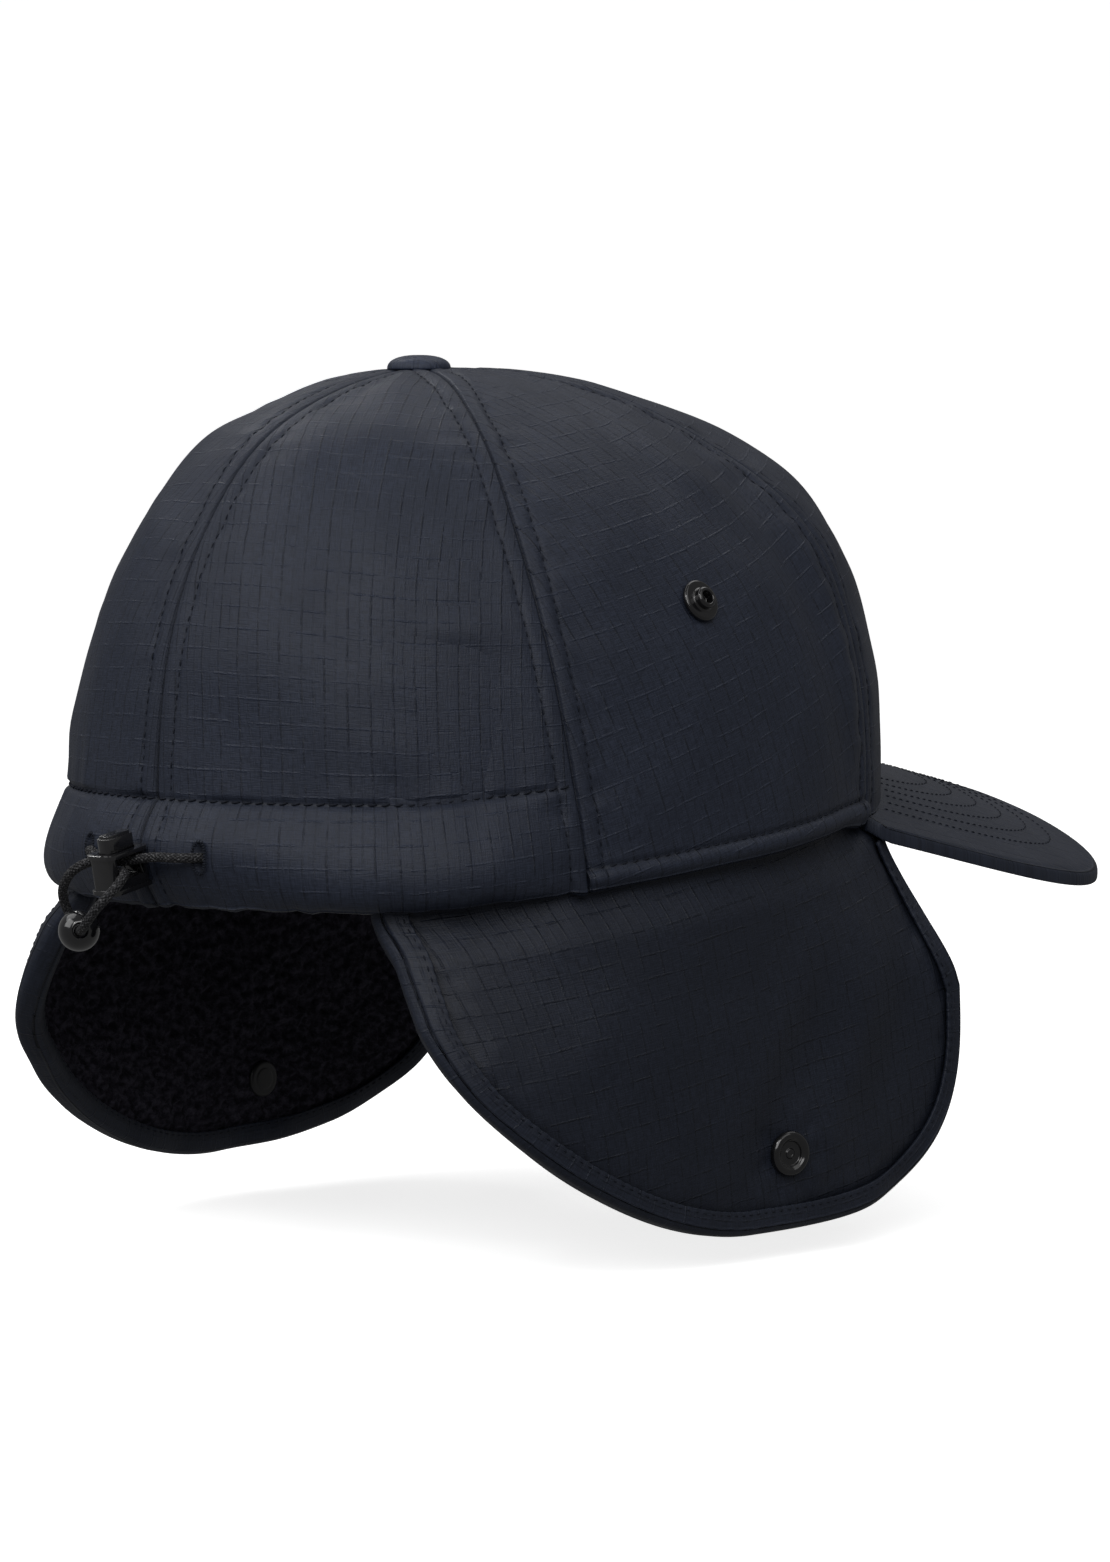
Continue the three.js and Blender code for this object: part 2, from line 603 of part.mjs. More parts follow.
for (let i = 0; i < cord.sides; i += 1) {
  const angle = 2 * Math.PI * i / cord.sides;
  const x = cord.radius * Math.cos(angle);
  const y = cord.radius * Math.sin(angle);
  if (i === 0) cordSection.moveTo(x, y);
  else cordSection.lineTo(x, y);
}
addPiece('drawcord', new THREE.ExtrudeGeometry(cordSection, {
  steps: cord.steps, extrudePath: new THREE.CatmullRomCurve3(cordRoute, false, 'centripetal'),
}), 'braid');

export default cap;
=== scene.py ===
import math

import bmesh
import bpy
import numpy as np
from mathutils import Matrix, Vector


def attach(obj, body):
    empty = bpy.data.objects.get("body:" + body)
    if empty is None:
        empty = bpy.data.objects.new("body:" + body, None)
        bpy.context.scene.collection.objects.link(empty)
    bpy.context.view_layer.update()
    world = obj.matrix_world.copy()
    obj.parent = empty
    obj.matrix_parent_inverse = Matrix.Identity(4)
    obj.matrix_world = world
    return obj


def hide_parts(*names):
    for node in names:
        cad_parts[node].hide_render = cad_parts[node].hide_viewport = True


# Earflap cap, dressed. Shapes are worked out in millimetres and go into the meshes in metres.
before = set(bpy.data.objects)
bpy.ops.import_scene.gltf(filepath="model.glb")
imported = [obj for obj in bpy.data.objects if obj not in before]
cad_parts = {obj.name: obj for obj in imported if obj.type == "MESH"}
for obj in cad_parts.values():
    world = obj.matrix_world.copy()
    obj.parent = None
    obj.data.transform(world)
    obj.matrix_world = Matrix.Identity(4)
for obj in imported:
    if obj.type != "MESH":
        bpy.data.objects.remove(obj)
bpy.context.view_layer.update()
metre = 0.001
sides = {"right": -1, "left": 1}
tau = 2 * math.pi
clothMap = "cloth"  # the UV map of the pieces, which is in millimetres on cloth
weld = {"doubles": 1e-6, "slivers": 1e-7, "moulding": 2e-6}  # distances in metres
print("frame loaded:", len(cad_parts), "nodes")


# sign(v) * |v|^e
def signedPower(v, e):
    return np.sign(v) * np.abs(v) ** e


# a + (b - a) s
def lerp(a, b, s):
    return a + (b - a) * s


# smoothstep: 3s^2 - 2s^3 with s running from a to b
def smoothStep(v, a, b):
    s = np.clip((v - a) / (b - a), 0, 1)
    return s * s * (3 - 2 * s)


# bell: exp(-((v - middle) / width)^2)
def bell(v, middle, width):
    return np.exp(-((v - middle) / width) ** 2)


# Value noise from -1 to 1: a hashed number on each lattice corner, blended with smoothstep weights
def noise(x, y, seed=0):
    x, y = np.broadcast_arrays(np.asarray(x, float), np.asarray(y, float))
    ix, iy = np.floor(x).astype(np.int64), np.floor(y).astype(np.int64)
    fx, fy = x - ix, y - iy
    sx, sy = fx * fx * (3 - 2 * fx), fy * fy * (3 - 2 * fy)

    def corner(cx, cy):
        n = (cx * 374761393 + cy * 668265263 + seed * 97463477) & 0x7FFFFFFF
        n = ((n ^ (n >> 13)) * 1274126177) & 0x7FFFFFFF
        return ((n ^ (n >> 16)) & 0xFFFF) / 32767.5 - 1

    low = lerp(corner(ix, iy), corner(ix + 1, iy), sx)
    high = lerp(corner(ix, iy + 1), corner(ix + 1, iy + 1), sx)
    return lerp(low, high, sy)


# v over its own length
def unit(v):
    return v / np.maximum(np.linalg.norm(v, axis=-1, keepdims=True), 1e-12)


# How far out a superellipse of unit size lies at an angle: (|sin|^power + |cos|^power)^(-1 / power)
def superRay(angle, power):
    return (np.abs(np.sin(angle)) ** power + np.abs(np.cos(angle)) ** power) ** (-1 / power)


# How far along a path each of its points lies
def lengthAlong(path):
    return np.concatenate([[0], np.cumsum(np.linalg.norm(np.diff(path, axis=0), axis=1))])


# The points of a path at the wanted distances along it
def pointsAt(wanted, along, path):
    return np.stack([np.interp(wanted, along, path[:, k]) for k in range(3)], -1)


# A place on the cloth turned by some degrees: x cos - y sin, x sin + y cos
def turnedPlace(x, y, degrees):
    c, s = math.cos(math.radians(degrees)), math.sin(math.radians(degrees))
    return np.stack([x * c - y * s, x * s + y * c], -1)


# A mesh object from points in millimetres, with its UV and how much shade is painted on each point in seams,
# stitch lines and holes
def newMesh(name, points, faces, uv=None, creaseShade=None):
    mesh = bpy.data.meshes.new(name)
    mesh.from_pydata((points * metre).tolist(), [], faces.tolist())
    mesh.polygons.foreach_set("use_smooth", np.ones(len(mesh.polygons), bool))
    corners = np.zeros(len(mesh.loops), np.int32)
    mesh.loops.foreach_get("vertex_index", corners)
    if uv is not None:
        places = mesh.uv_layers.new(name=clothMap)
        places.data.foreach_set("uv", uv[corners].astype(np.float32).ravel())
    if creaseShade is not None:
        depths = mesh.attributes.new("creaseShade", "FLOAT", "POINT")
        depths.data.foreach_set("value", creaseShade.astype(np.float32).ravel())
    piece = bpy.data.objects.new(name, mesh)
    bpy.context.scene.collection.objects.link(piece)
    return piece


# Quads of a grid of rows by columns, closed either way where asked
def gridFaces(rows, columns, closeRows=False, closeColumns=False, start=0, flip=False):
    i, j = np.meshgrid(
        np.arange(rows if closeRows else rows - 1), np.arange(columns if closeColumns else columns - 1),
        indexing="ij",
    )
    a = i * columns + j
    b = ((i + 1) % rows) * columns + j
    c = ((i + 1) % rows) * columns + (j + 1) % columns
    d = i * columns + (j + 1) % columns
    quads = np.stack([a, b, c, d], -1).reshape(-1, 4) + start
    return quads[:, ::-1] if flip else quads


# Turns all faces round where the closed mesh has a negative volume
def facingOut(points, faces):
    a, b, c, d = (points[faces[:, k]] for k in range(4))
    volume = (a * (np.cross(b, c) + np.cross(c, d))).sum()
    return faces if volume > 0 else faces[:, ::-1]


# A sheet with two faces. Round its border the rim is a half superellipse between them:
# middle + half thickness * cos^(2/power) + outward * bulge * half thickness * sin^(2/power)
def sheet(name, outer, inner, uv, creaseShade=None, bulge=(1, 1, 1, 1), power=2, rimSteps=5):
    rows, columns = outer.shape[:2]
    index = np.arange(rows * columns).reshape(rows, columns)
    loop = np.concatenate([index[0, :-1], index[:-1, -1], index[-1, :0:-1], index[:0:-1, 0]])
    inside = np.pad(index[1:-1, 1:-1], 1, mode="edge")
    inward = np.concatenate([inside[0, :-1], inside[:-1, -1], inside[-1, :0:-1], inside[:0:-1, 0]])
    swell = np.concatenate([
        np.full(columns - 1, bulge[0]), np.full(rows - 1, bulge[1]),
        np.full(columns - 1, bulge[2]), np.full(rows - 1, bulge[3]),
    ])
    flatOut, flatIn = outer.reshape(-1, 3), inner.reshape(-1, 3)
    middle = (flatOut[loop] + flatIn[loop]) / 2
    half = (flatOut[loop] - flatIn[loop]) / 2
    size = np.linalg.norm(half, axis=1, keepdims=True)
    away = unit(flatOut[loop] - flatOut[inward])
    rings = []
    for k in range(1, rimSteps):
        angle = math.pi * k / rimSteps
        across = signedPower(math.cos(angle), 2 / power)
        out = math.sin(angle) ** (2 / power)
        rings.append(middle + half * across + away * size * out * swell[:, None])
    count = rows * columns
    points = np.concatenate([flatOut, flatIn, *rings])
    faces = [gridFaces(rows, columns), gridFaces(rows, columns, start=count, flip=True)]
    rims = 2 * count + np.arange((rimSteps - 1) * len(loop)).reshape(rimSteps - 1, len(loop))
    chain = [loop, *rims, loop + count]
    for low, high in zip(chain[:-1], chain[1:]):
        faces.append(np.stack([low, high, np.roll(high, -1), np.roll(low, -1)], -1))
    faces = facingOut(points, np.concatenate(faces))
    flatUv = uv.reshape(-1, 2)
    allUv = np.concatenate([flatUv, flatUv] + [flatUv[loop]] * (rimSteps - 1))
    # the painted shade goes on the outer face and the rim, none on the inner face
    flatShade = np.zeros(count) if creaseShade is None else creaseShade.reshape(-1)
    allShade = np.concatenate([flatShade, flatShade * 0] + [flatShade[loop]] * (rimSteps - 1))
    return newMesh(name, points, faces, allUv, allShade)


offAxis = (0.31, 0.22, 0.93)  # any direction that no axis here has


# A turned form: place + height * axis + radius * (cos a, sin a), for each (radius, height) of a profile.
# The poles are closed
def turned(name, profile, place, axis, segments=72):
    profile = np.asarray(profile, float)
    axis = unit(np.asarray(axis, float))
    side = unit(np.cross(axis, offAxis))
    other = np.cross(axis, side)
    angle = np.arange(segments) * tau / segments
    ring = np.cos(angle)[:, None] * side + np.sin(angle)[:, None] * other
    points = place + profile[:, None, 1:2] * axis + profile[:, None, 0:1] * ring
    uv = profile[:, None, 0:1] * np.stack([np.cos(angle), np.sin(angle)], -1)
    closed = np.allclose(profile[0], profile[-1])
    rows = len(profile) - (1 if closed else 0)
    flat = points[:rows].reshape(-1, 3)
    faces = facingOut(flat, gridFaces(rows, segments, closeRows=closed, closeColumns=True))
    piece = newMesh(name, flat, faces, uv[:rows].reshape(-1, 2))
    merged = bmesh.new()
    merged.from_mesh(piece.data)
    bmesh.ops.remove_doubles(merged, verts=merged.verts, dist=weld["doubles"])
    bmesh.ops.dissolve_degenerate(merged, dist=weld["slivers"], edges=merged.edges)
    merged.to_mesh(piece.data)
    merged.free()
    return piece


# A profile with rounded corners: (1 - s)^2 start + 2 s (1 - s) corner + s^2 end, where start and end lie a
# radius from the corner, or less than half of a short side
def roundedProfile(corners, radius, steps=4, most=0.45):
    corners = np.asarray(corners, float)
    points = [corners[0]]
    for before, corner, after in zip(corners[:-2], corners[1:-1], corners[2:]):
        reachIn = min(radius, np.linalg.norm(before - corner) * most)
        reachOut = min(radius, np.linalg.norm(after - corner) * most)
        start = corner + unit(before - corner) * reachIn
        end = corner + unit(after - corner) * reachOut
        for s in np.linspace(0, 1, steps):
            points.append((1 - s) ** 2 * start + 2 * s * (1 - s) * corner + s * s * end)
    points.append(corners[-1])
    return np.array(points)


threadMesh = {"rings": 6, "around": 6, "taper": 1.755, "tip": 0.04, "sway": 2.4}
threadCap = np.array([[0, 1, 2, 3], [0, 3, 4, 5]])  # two quads close a ring of six


# Stitches: short threads laid along a path, each dipping into the cloth at both ends.
# height = lift * (1 - 4 s^2) - sink * 4 s^2 over s from -1/2 to 1/2, and
# radius = radius * (1 - (taper s)^2)^(1/2), with six points round
def stitchThreads(path, normals, look):
    along = lengthAlong(path)
    count = max(int(along[-1] / look["pitch"]), 1)
    middles = (np.arange(count) + 0.5) * along[-1] / count
    reach = look["length"] / 2
    at = pointsAt(middles, along, path)
    up = unit(pointsAt(middles, along, normals))
    tangent = unit(pointsAt(middles + reach, along, path) - pointsAt(middles - reach, along, path))
    cross = unit(np.cross(up, tangent))
    tilt = look["tilt"] * np.sin(np.arange(count) * threadMesh["sway"])[:, None]
    tangent = unit(tangent + cross * (look["slant"] + tilt))
    cross = np.cross(up, tangent)
    rings, around = threadMesh["rings"], threadMesh["around"]
    s = np.linspace(-0.5, 0.5, rings)
    angle = np.arange(around) * tau / around
    radius = look["radius"] * np.sqrt(np.clip(1 - (threadMesh["taper"] * s) ** 2, threadMesh["tip"], 1))
    lift = look["lift"] * (1 - 4 * s ** 2) - look["sink"] * 4 * s ** 2
    spine = at[:, None] + tangent[:, None] * (s * look["length"])[:, None] + up[:, None] * lift[:, None]
    ring = np.cos(angle)[:, None] * cross[:, None] + np.sin(angle)[:, None] * up[:, None]
    points = spine[:, :, None] + radius[:, None, None] * ring[:, None]
    one = gridFaces(rings, around, closeColumns=True)
    one = np.concatenate([one, threadCap, threadCap[:, ::-1] + (rings - 1) * around])
    one = facingOut(points[0].reshape(-1, 3), one)
    faces = (one[None] + (np.arange(count) * rings * around)[:, None, None]).reshape(-1, 4)
    return points.reshape(-1, 3), faces


# All runs of one piece of stitching, each a path, its normals and a look
def stitchPiece(name, runs):
    points, faces, start = [], [], 0
    for path, normals, look in runs:
        p, f = stitchThreads(path, normals, look)
        points.append(p)
        faces.append(f + start)
        start += len(p)
    piece = newMesh(name, np.concatenate(points), np.concatenate(faces))
    finish(piece, "thread", "tape")
    return piece


# Shader maths: a wrapped socket, so that sums are written as Python sums
class Term:
    def __init__(self, graph, socket):
        self.graph, self.socket = graph, socket

    def __add__(self, other):
        return self.graph.maths("ADD", self, other)

    def __sub__(self, other):
        return self.graph.maths("SUBTRACT", self, other)

    def __rsub__(self, other):
        return self.graph.maths("SUBTRACT", other, self)

    def __mul__(self, other):
        return self.graph.maths("MULTIPLY", self, other)

    def __truediv__(self, other):
        return self.graph.maths("DIVIDE", self, other)

    __radd__, __rmul__ = __add__, __mul__


# A material's nodes, with one method that makes any node and short ones for those used most
class Graph:
    def __init__(self, name, roughness=0.5, metallic=0.0, specular=0.5, coat=0.0):
        self.material = bpy.data.materials.new(name)
        self.material.use_nodes = True
        self.tree = self.material.node_tree
        self.shader = self.tree.nodes["Principled BSDF"]
        fixed = {
            "Roughness": roughness, "Metallic": metallic, "Specular IOR Level": specular, "Coat Weight": coat,
        }
        for key, value in fixed.items():
            self.shader.inputs[key].default_value = value

    def put(self, socket, value):
        if isinstance(value, Term):
            self.tree.links.new(value.socket, socket)
        else:
            socket.default_value = value

    def node(self, kind, settings, sockets, output=0):
        made = self.tree.nodes.new(kind)
        for key, value in settings.items():
            setattr(made, key, value)
        for key, value in sockets.items():
            self.put(made.inputs[key], value)
        return Term(self, made.outputs[output])

    def maths(self, operation, a, b=0.0):
        return self.node("ShaderNodeMath", {"operation": operation}, {0: a, 1: b})

    # colour a to colour b by a factor; sockets 6 and 7 and output 2 are the node's colours
    def blend(self, factor, a, b):
        colours = {6: a if isinstance(a, Term) else (*a, 1), 7: b if isinstance(b, Term) else (*b, 1)}
        return self.node("ShaderNodeMix", {"data_type": "RGBA"}, {0: factor, **colours}, output=2)

    def texture(self, vector, scale, detail=2.0, roughness=0.5):
        sockets = {"Vector": vector, "Scale": scale, "Detail": detail, "Roughness": roughness}
        return self.node("ShaderNodeTexNoise", {}, sockets)

    # place on the cloth, and place in the object's own coordinates
    def place(self):
        return self.node("ShaderNodeUVMap", {"uv_map": clothMap}, {})

    def inObject(self):
        return self.node("ShaderNodeTexCoord", {}, {}, output="Object")

    def stretched(self, vector, scale):
        return self.node("ShaderNodeMapping", {"vector_type": "POINT"}, {"Vector": vector, "Scale": scale})

    def split(self, vector):
        made = self.node("ShaderNodeSeparateXYZ", {}, {0: vector})
        return made, Term(self, made.socket.node.outputs[1])

    # a to b by a smoothstep, while the value runs from low to high
    def ramp(self, value, low, high, a=0.0, b=1.0):
        settings = {"clamp": True, "interpolation_type": "SMOOTHSTEP"}
        return self.node("ShaderNodeMapRange", settings, {0: value, 1: low, 2: high, 3: a, 4: b})

    def bump(self, height, distance, strength=1.0):
        sockets = {"Height": height, "Distance": distance, "Strength": strength}
        self.feed("Normal", self.node("ShaderNodeBump", {}, sockets))

    # a value or a link into the shader
    def feed(self, key, value):
        self.put(self.shader.inputs[key], value)


def toned(colour, factor):
    return tuple(c * factor for c in colour)


# Ripstop: dark plain weave with heavier threads. Sizes in millimetres of cloth
weave = {
    "pitch": 5.2, "thread": 0.36, "core": 0.04, "wander": 0.16, "wanderScale": 0.06, "between": 0.45,
    "low": 0.72, "high": 1.26, "grainRange": (0.72, 1.28),
    # The deep tone is the shade painted into seams, stitch lines and the cord's holes; the share after it
    # sets how strong it is
    "worn": 0.76, "wornShare": 0.45, "wornRange": (0.38, 0.66), "dark": 0.4, "deep": 0.28,
    "creaseShadeShare": 0.8, "roughness": 0.5, "specular": 0.24, "bump": 0.00016,
}
# Streaks of thicker thread, noise stretched over the cloth: scale across, scale up, detail
slubs = {"up": (3.4, 0.35, 2.0), "across": (0.35, 3.4, 2.0)}
# What the heavier threads fade by: the same three, then the noise where they fade and are whole, and the
# least of them that stays
fades = {
    "up": (0.45, 0.16, 2.0, 0.36, 0.56, 0.3), "upDash": (2.0, 0.9, 1.0, 0.36, 0.5, 0.3),
    "across": (0.16, 0.45, 2.0, 0.4, 0.58, 0.12), "acrossDash": (0.9, 2.0, 1.0, 0.38, 0.52, 0.2),
}


# A heavier thread every 5.2 mm each way, and a weaker upright one half-way between. The upright threads read
# dark, the level ones light or dark, and all fade in and out along their length
def ripstopMaterial(name, base, upright=0.75, level=0.42, levelTone=1.5):
    g = Graph(name, specular=weave["specular"])
    uv = g.place()
    u, v = g.split(uv)
    wander = g.texture(uv, weave["wanderScale"], 1.0)

    def lines(value, shift=0.5):
        turn = g.maths("FRACT", value / weave["pitch"] + shift + wander * weave["wander"])
        return g.ramp(g.maths("ABSOLUTE", turn - 0.5) * weave["pitch"], weave["thread"], weave["core"])

    def streaks(across, up, detail):
        return g.texture(g.stretched(uv, (across, up, 1)), 1.0, detail)

    def fade(name):
        *scales, start, end, least = fades[name]
        return g.ramp(streaks(*scales), start, end, least, 1)

    up = (lines(u) + lines(u, 0.0) * weave["between"]) * fade("up") * fade("upDash")
    across = lines(v) * fade("across") * fade("acrossDash")
    slub = streaks(*slubs["up"])
    grain = slub + streaks(*slubs["across"])
    mottle = g.texture(uv, 0.04, 3.0, 0.6)
    # how much painted shade each point has
    creaseShade = g.node("ShaderNodeAttribute", {"attribute_name": "creaseShade"}, {}, output="Fac")
    grainTone, worn = g.ramp(grain, *weave["grainRange"]), g.ramp(mottle, *weave["wornRange"])
    colour = g.blend(grainTone, toned(base, weave["low"]), toned(base, weave["high"]))
    colour = g.blend(worn * weave["wornShare"], colour, toned(base, weave["worn"]))
    colour = g.blend(up * upright, colour, toned(base, weave["dark"]))
    colour = g.blend(across * level, colour, toned(base, levelTone))
    # painted shade: darker towards the deep tone in seams, stitch lines and the cord's holes
    g.feed("Base Color", g.blend(creaseShade * weave["creaseShadeShare"], colour, toned(base, weave["deep"])))
    g.feed("Roughness", weave["roughness"] + (slub - 0.5) * 0.25 + (mottle - 0.5) * 0.2 - across * 0.08)
    g.bump(grain * 0.6 + (up + across) * 0.9, weave["bump"], 0.9)
    return g.material


def threadMaterial():
    g = Graph("thread", roughness=0.7, specular=0.2)
    twist = g.texture(g.inObject(), 2200.0, 1.0)
    g.feed("Base Color", g.blend(twist, (0.004, 0.005, 0.009), (0.013, 0.016, 0.026)))
    g.bump(twist, 0.0001, 0.6)
    return g.material


# Fleece: painted shade makes it dark between its curls, with paler fine hair
def fleeceMaterial():
    g = Graph("fleece", roughness=0.95, specular=0.05)
    uv = g.place()
    curl = g.texture(uv, 0.45, 3.0, 0.6)
    fine = g.texture(uv, 2.6, 2.0)
    # painted shade: darker between the curls, in the hollows of the bump
    colour = g.blend(g.ramp(curl, 0.35, 0.7), (0.003, 0.0028, 0.0045), (0.046, 0.043, 0.058))
    g.feed("Base Color", g.blend(fine * 0.35, colour, (0.05, 0.047, 0.062)))
    g.bump(curl * 0.8 + fine * 0.2, 0.0012, 1.0)
    return g.material


# Moulded or enamelled black: clouded tone, and a roughness that varies a little
def glossMaterial(name, tone, roughness, metallic, coat):
    g = Graph(name, roughness=roughness, metallic=metallic, coat=coat)
    cloud = g.texture(g.inObject(), 260.0, 2.0)
    specks = g.texture(g.inObject(), 2600.0, 2.0)
    g.feed("Base Color", g.blend(g.ramp(cloud, 0.4, 0.75) * 0.6, tone, toned(tone, 1.6)))
    g.feed("Roughness", roughness + (cloud - 0.5) * 0.16 + (specks - 0.5) * 0.1)
    g.bump(specks, 0.00002, 0.5)
    return g.material


braidWeave = {"strands": 8, "lay": 0.95, "flecks": (16, 1.5, 1)}


# Braided elastic: two crossing sets of strands on (turns round, millimetres along)
def braidMaterial():
    g = Graph("braid", roughness=0.62, specular=0.25)
    uv = g.place()
    turns, along = g.split(uv)

    def strands(direction):
        wave = g.maths("FRACT", turns * braidWeave["strands"] + along * (direction * braidWeave["lay"]))
        return g.ramp(g.maths("ABSOLUTE", wave - 0.5), 0.5, 0.12)

    left, right = strands(1), strands(-1)
    flecks = g.texture(g.stretched(uv, braidWeave["flecks"]), 1.0, 1.0)
    colour = g.blend(left * right, (0.004, 0.004, 0.005), (0.024, 0.024, 0.027))
    g.feed("Base Color", g.blend(g.ramp(flecks, 0.52, 0.68) * 0.8, colour, (0.11, 0.11, 0.115)))
    g.bump(left + right, 0.00012, 0.9)
    return g.material


navy = (0.0205, 0.0255, 0.0415)
# Ripstop: tone of the navy, then how strong the upright and level threads are and the tone of the level ones.
# Gloss: colour, roughness, metallic, coat
materials = {
    "ripstop": ripstopMaterial("ripstop", navy),
    # The ear flaps' copy is darker as painted shade, for they hang below the crown, out of the light from
    # above
    "ripstopFlapShaded": ripstopMaterial("ripstop_flap_shaded", toned(navy, 0.68), 0.6, 0.6, 0.5),
    "ripstopPeak": ripstopMaterial("ripstop_peak", toned(navy, 0.95), 0.35, 0.3, 1.4),
    # The top button's copy is lighter as painted light, for its top faces the lamps above
    "ripstopButtonLit": ripstopMaterial("ripstop_button_lit", toned(navy, 1.45), 0.4, 0.2, 1.3),
    "tape": ripstopMaterial("ripstop_tape", toned(navy, 0.78), 0.3, 0.2, 1.4),
    "thread": threadMaterial(),
    "fleece": fleeceMaterial(),
    "plastic": glossMaterial("black_plastic", (0.006, 0.006, 0.007), 0.16, 0.0, 0.8),
    "backMetal": glossMaterial("dull_enamel", (0.004, 0.004, 0.005), 0.42, 0.1, 0.0),
    "metal": glossMaterial("black_enamel", (0.007, 0.007, 0.008), 0.18, 0.3, 0.7),
    "braid": braidMaterial(),
}


# Gives a piece its material and its body, and hides the nodes that it stands for
def finish(piece, material, slot, *nodes, body="cap"):
    piece.data.materials.clear()
    piece.data.materials.append(materials[material])
    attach(piece, body)
    if nodes:
        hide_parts(*nodes)
    return piece


print("materials made")

# Camera at the photo's angle: azimuth from the front, counted towards +X
camera = {
    "azimuth": 224.38, "elevation": 4.852, "distance": 1.5, "lens": 145.06, "sensor": 36,
    "aimRight": 0.0179, "aimUp": 0.0226,
}
azimuth, elevation = math.radians(camera["azimuth"]), math.radians(camera["elevation"])
viewSide = Vector((math.sin(azimuth), -math.cos(azimuth), 0))
toCamera = viewSide * math.cos(elevation) + Vector((0, 0, math.sin(elevation)))
imageRight = Vector((math.cos(azimuth), math.sin(azimuth), 0))
imageUp = toCamera.cross(imageRight)
cameraData = bpy.data.cameras.new("camera")
cameraData.sensor_fit = "VERTICAL"
cameraData.sensor_height = camera["sensor"]
cameraData.lens = camera["lens"]
cameraObject = bpy.data.objects.new("camera", cameraData)
cameraObject.location = toCamera * camera["distance"]
aim = imageRight * camera["aimRight"] + imageUp * camera["aimUp"]
cameraObject.rotation_euler = (cameraObject.location - aim).to_track_quat("Z", "Y").to_euler()
bpy.context.scene.collection.objects.link(cameraObject)
bpy.context.scene.camera = cameraObject

# Drawcord: out of the right hole, through the lock, round through the bead and back to the left hole
cord = {"diameter": 2.2, "around": 28, "perMillimetre": 4, "ripple": 0.025, "dome": 0.6, "tip": 0.05}
cordRoute = np.array([
    [-22.9, 104, 11.7], [-19.6, 104.9, 11.7], [-18, 106.5, 11.7], [-17.1, 108.2, 11.7], [-16.2, 110, 11.7],
    [-14.9, 111.3, 11.7], [-13, 112.1, 11.7], [-9.8, 112.8, 11.7], [-6.2, 113.5, 11.4], [-2.6, 114.2, 10.8],
    [0.8, 115.1, 10.3], [4, 116.7, 10.4], [7.6, 118.8, 9.8], [11.3, 119.8, 7.8], [14.7, 119, 5.2],
    [17.4, 117.5, 2.6], [18.9, 115.5, -0.2], [18.7, 114, -3.3], [17.1, 114, -5.4], [14.4, 115.6, -6.4],
    [9.3, 119.8, -5.6], [4.9, 123.2, -5.1], [1.7, 125.4, -4.1], [-1.4, 126.6, -2], [-4.1, 126.8, 0.5],
    [-6.6, 125.7, 3.4], [-7.7, 123.3, 6.1], [-6.7, 120.6, 7.9], [-4, 118.4, 8.2], [-0.6, 117.6, 8.1],
    [2.6, 117.3, 8], [5.8, 115.7, 8.2], [9.4, 113.5, 9.8], [13, 112.1, 11.6], [14.9, 111.3, 11.7],
    [16.2, 110, 11.7], [17.1, 108.2, 11.7], [18, 106.5, 11.7], [19.6, 104.9, 11.7], [22.9, 104, 11.7],
])


# Centripetal Catmull-Rom through the route, evened out by arc length
def smoothRoute(route, spacing, perStretch=40):
    ends = np.concatenate([[2 * route[0] - route[1]], route, [2 * route[-1] - route[-2]]])
    knots = np.sqrt(np.linalg.norm(np.diff(ends, axis=0), axis=1))
    s = np.linspace(0, 1, perStretch, endpoint=False)[:, None]
    parts = []
    for k in range(len(route) - 1):
        p0, p1, p2, p3 = ends[k:k + 4]
        d0, d1, d2 = knots[k:k + 3]
        m1 = ((p1 - p0) / d0 - (p2 - p0) / (d0 + d1) + (p2 - p1) / d1) * d1
        m2 = ((p2 - p1) / d1 - (p3 - p1) / (d1 + d2) + (p3 - p2) / d2) * d1
        squared, cubed = 3 * (p2 - p1) - 2 * m1 - m2, 2 * (p1 - p2) + m1 + m2
        parts.append(p1 + m1 * s + squared * s ** 2 + cubed * s ** 3)
    fine = np.concatenate([*parts, route[-1:]])
    along = lengthAlong(fine)
    even = np.linspace(0, along[-1], int(along[-1] / spacing) + 1)
    return pointsAt(even, along, fine), along[-1]


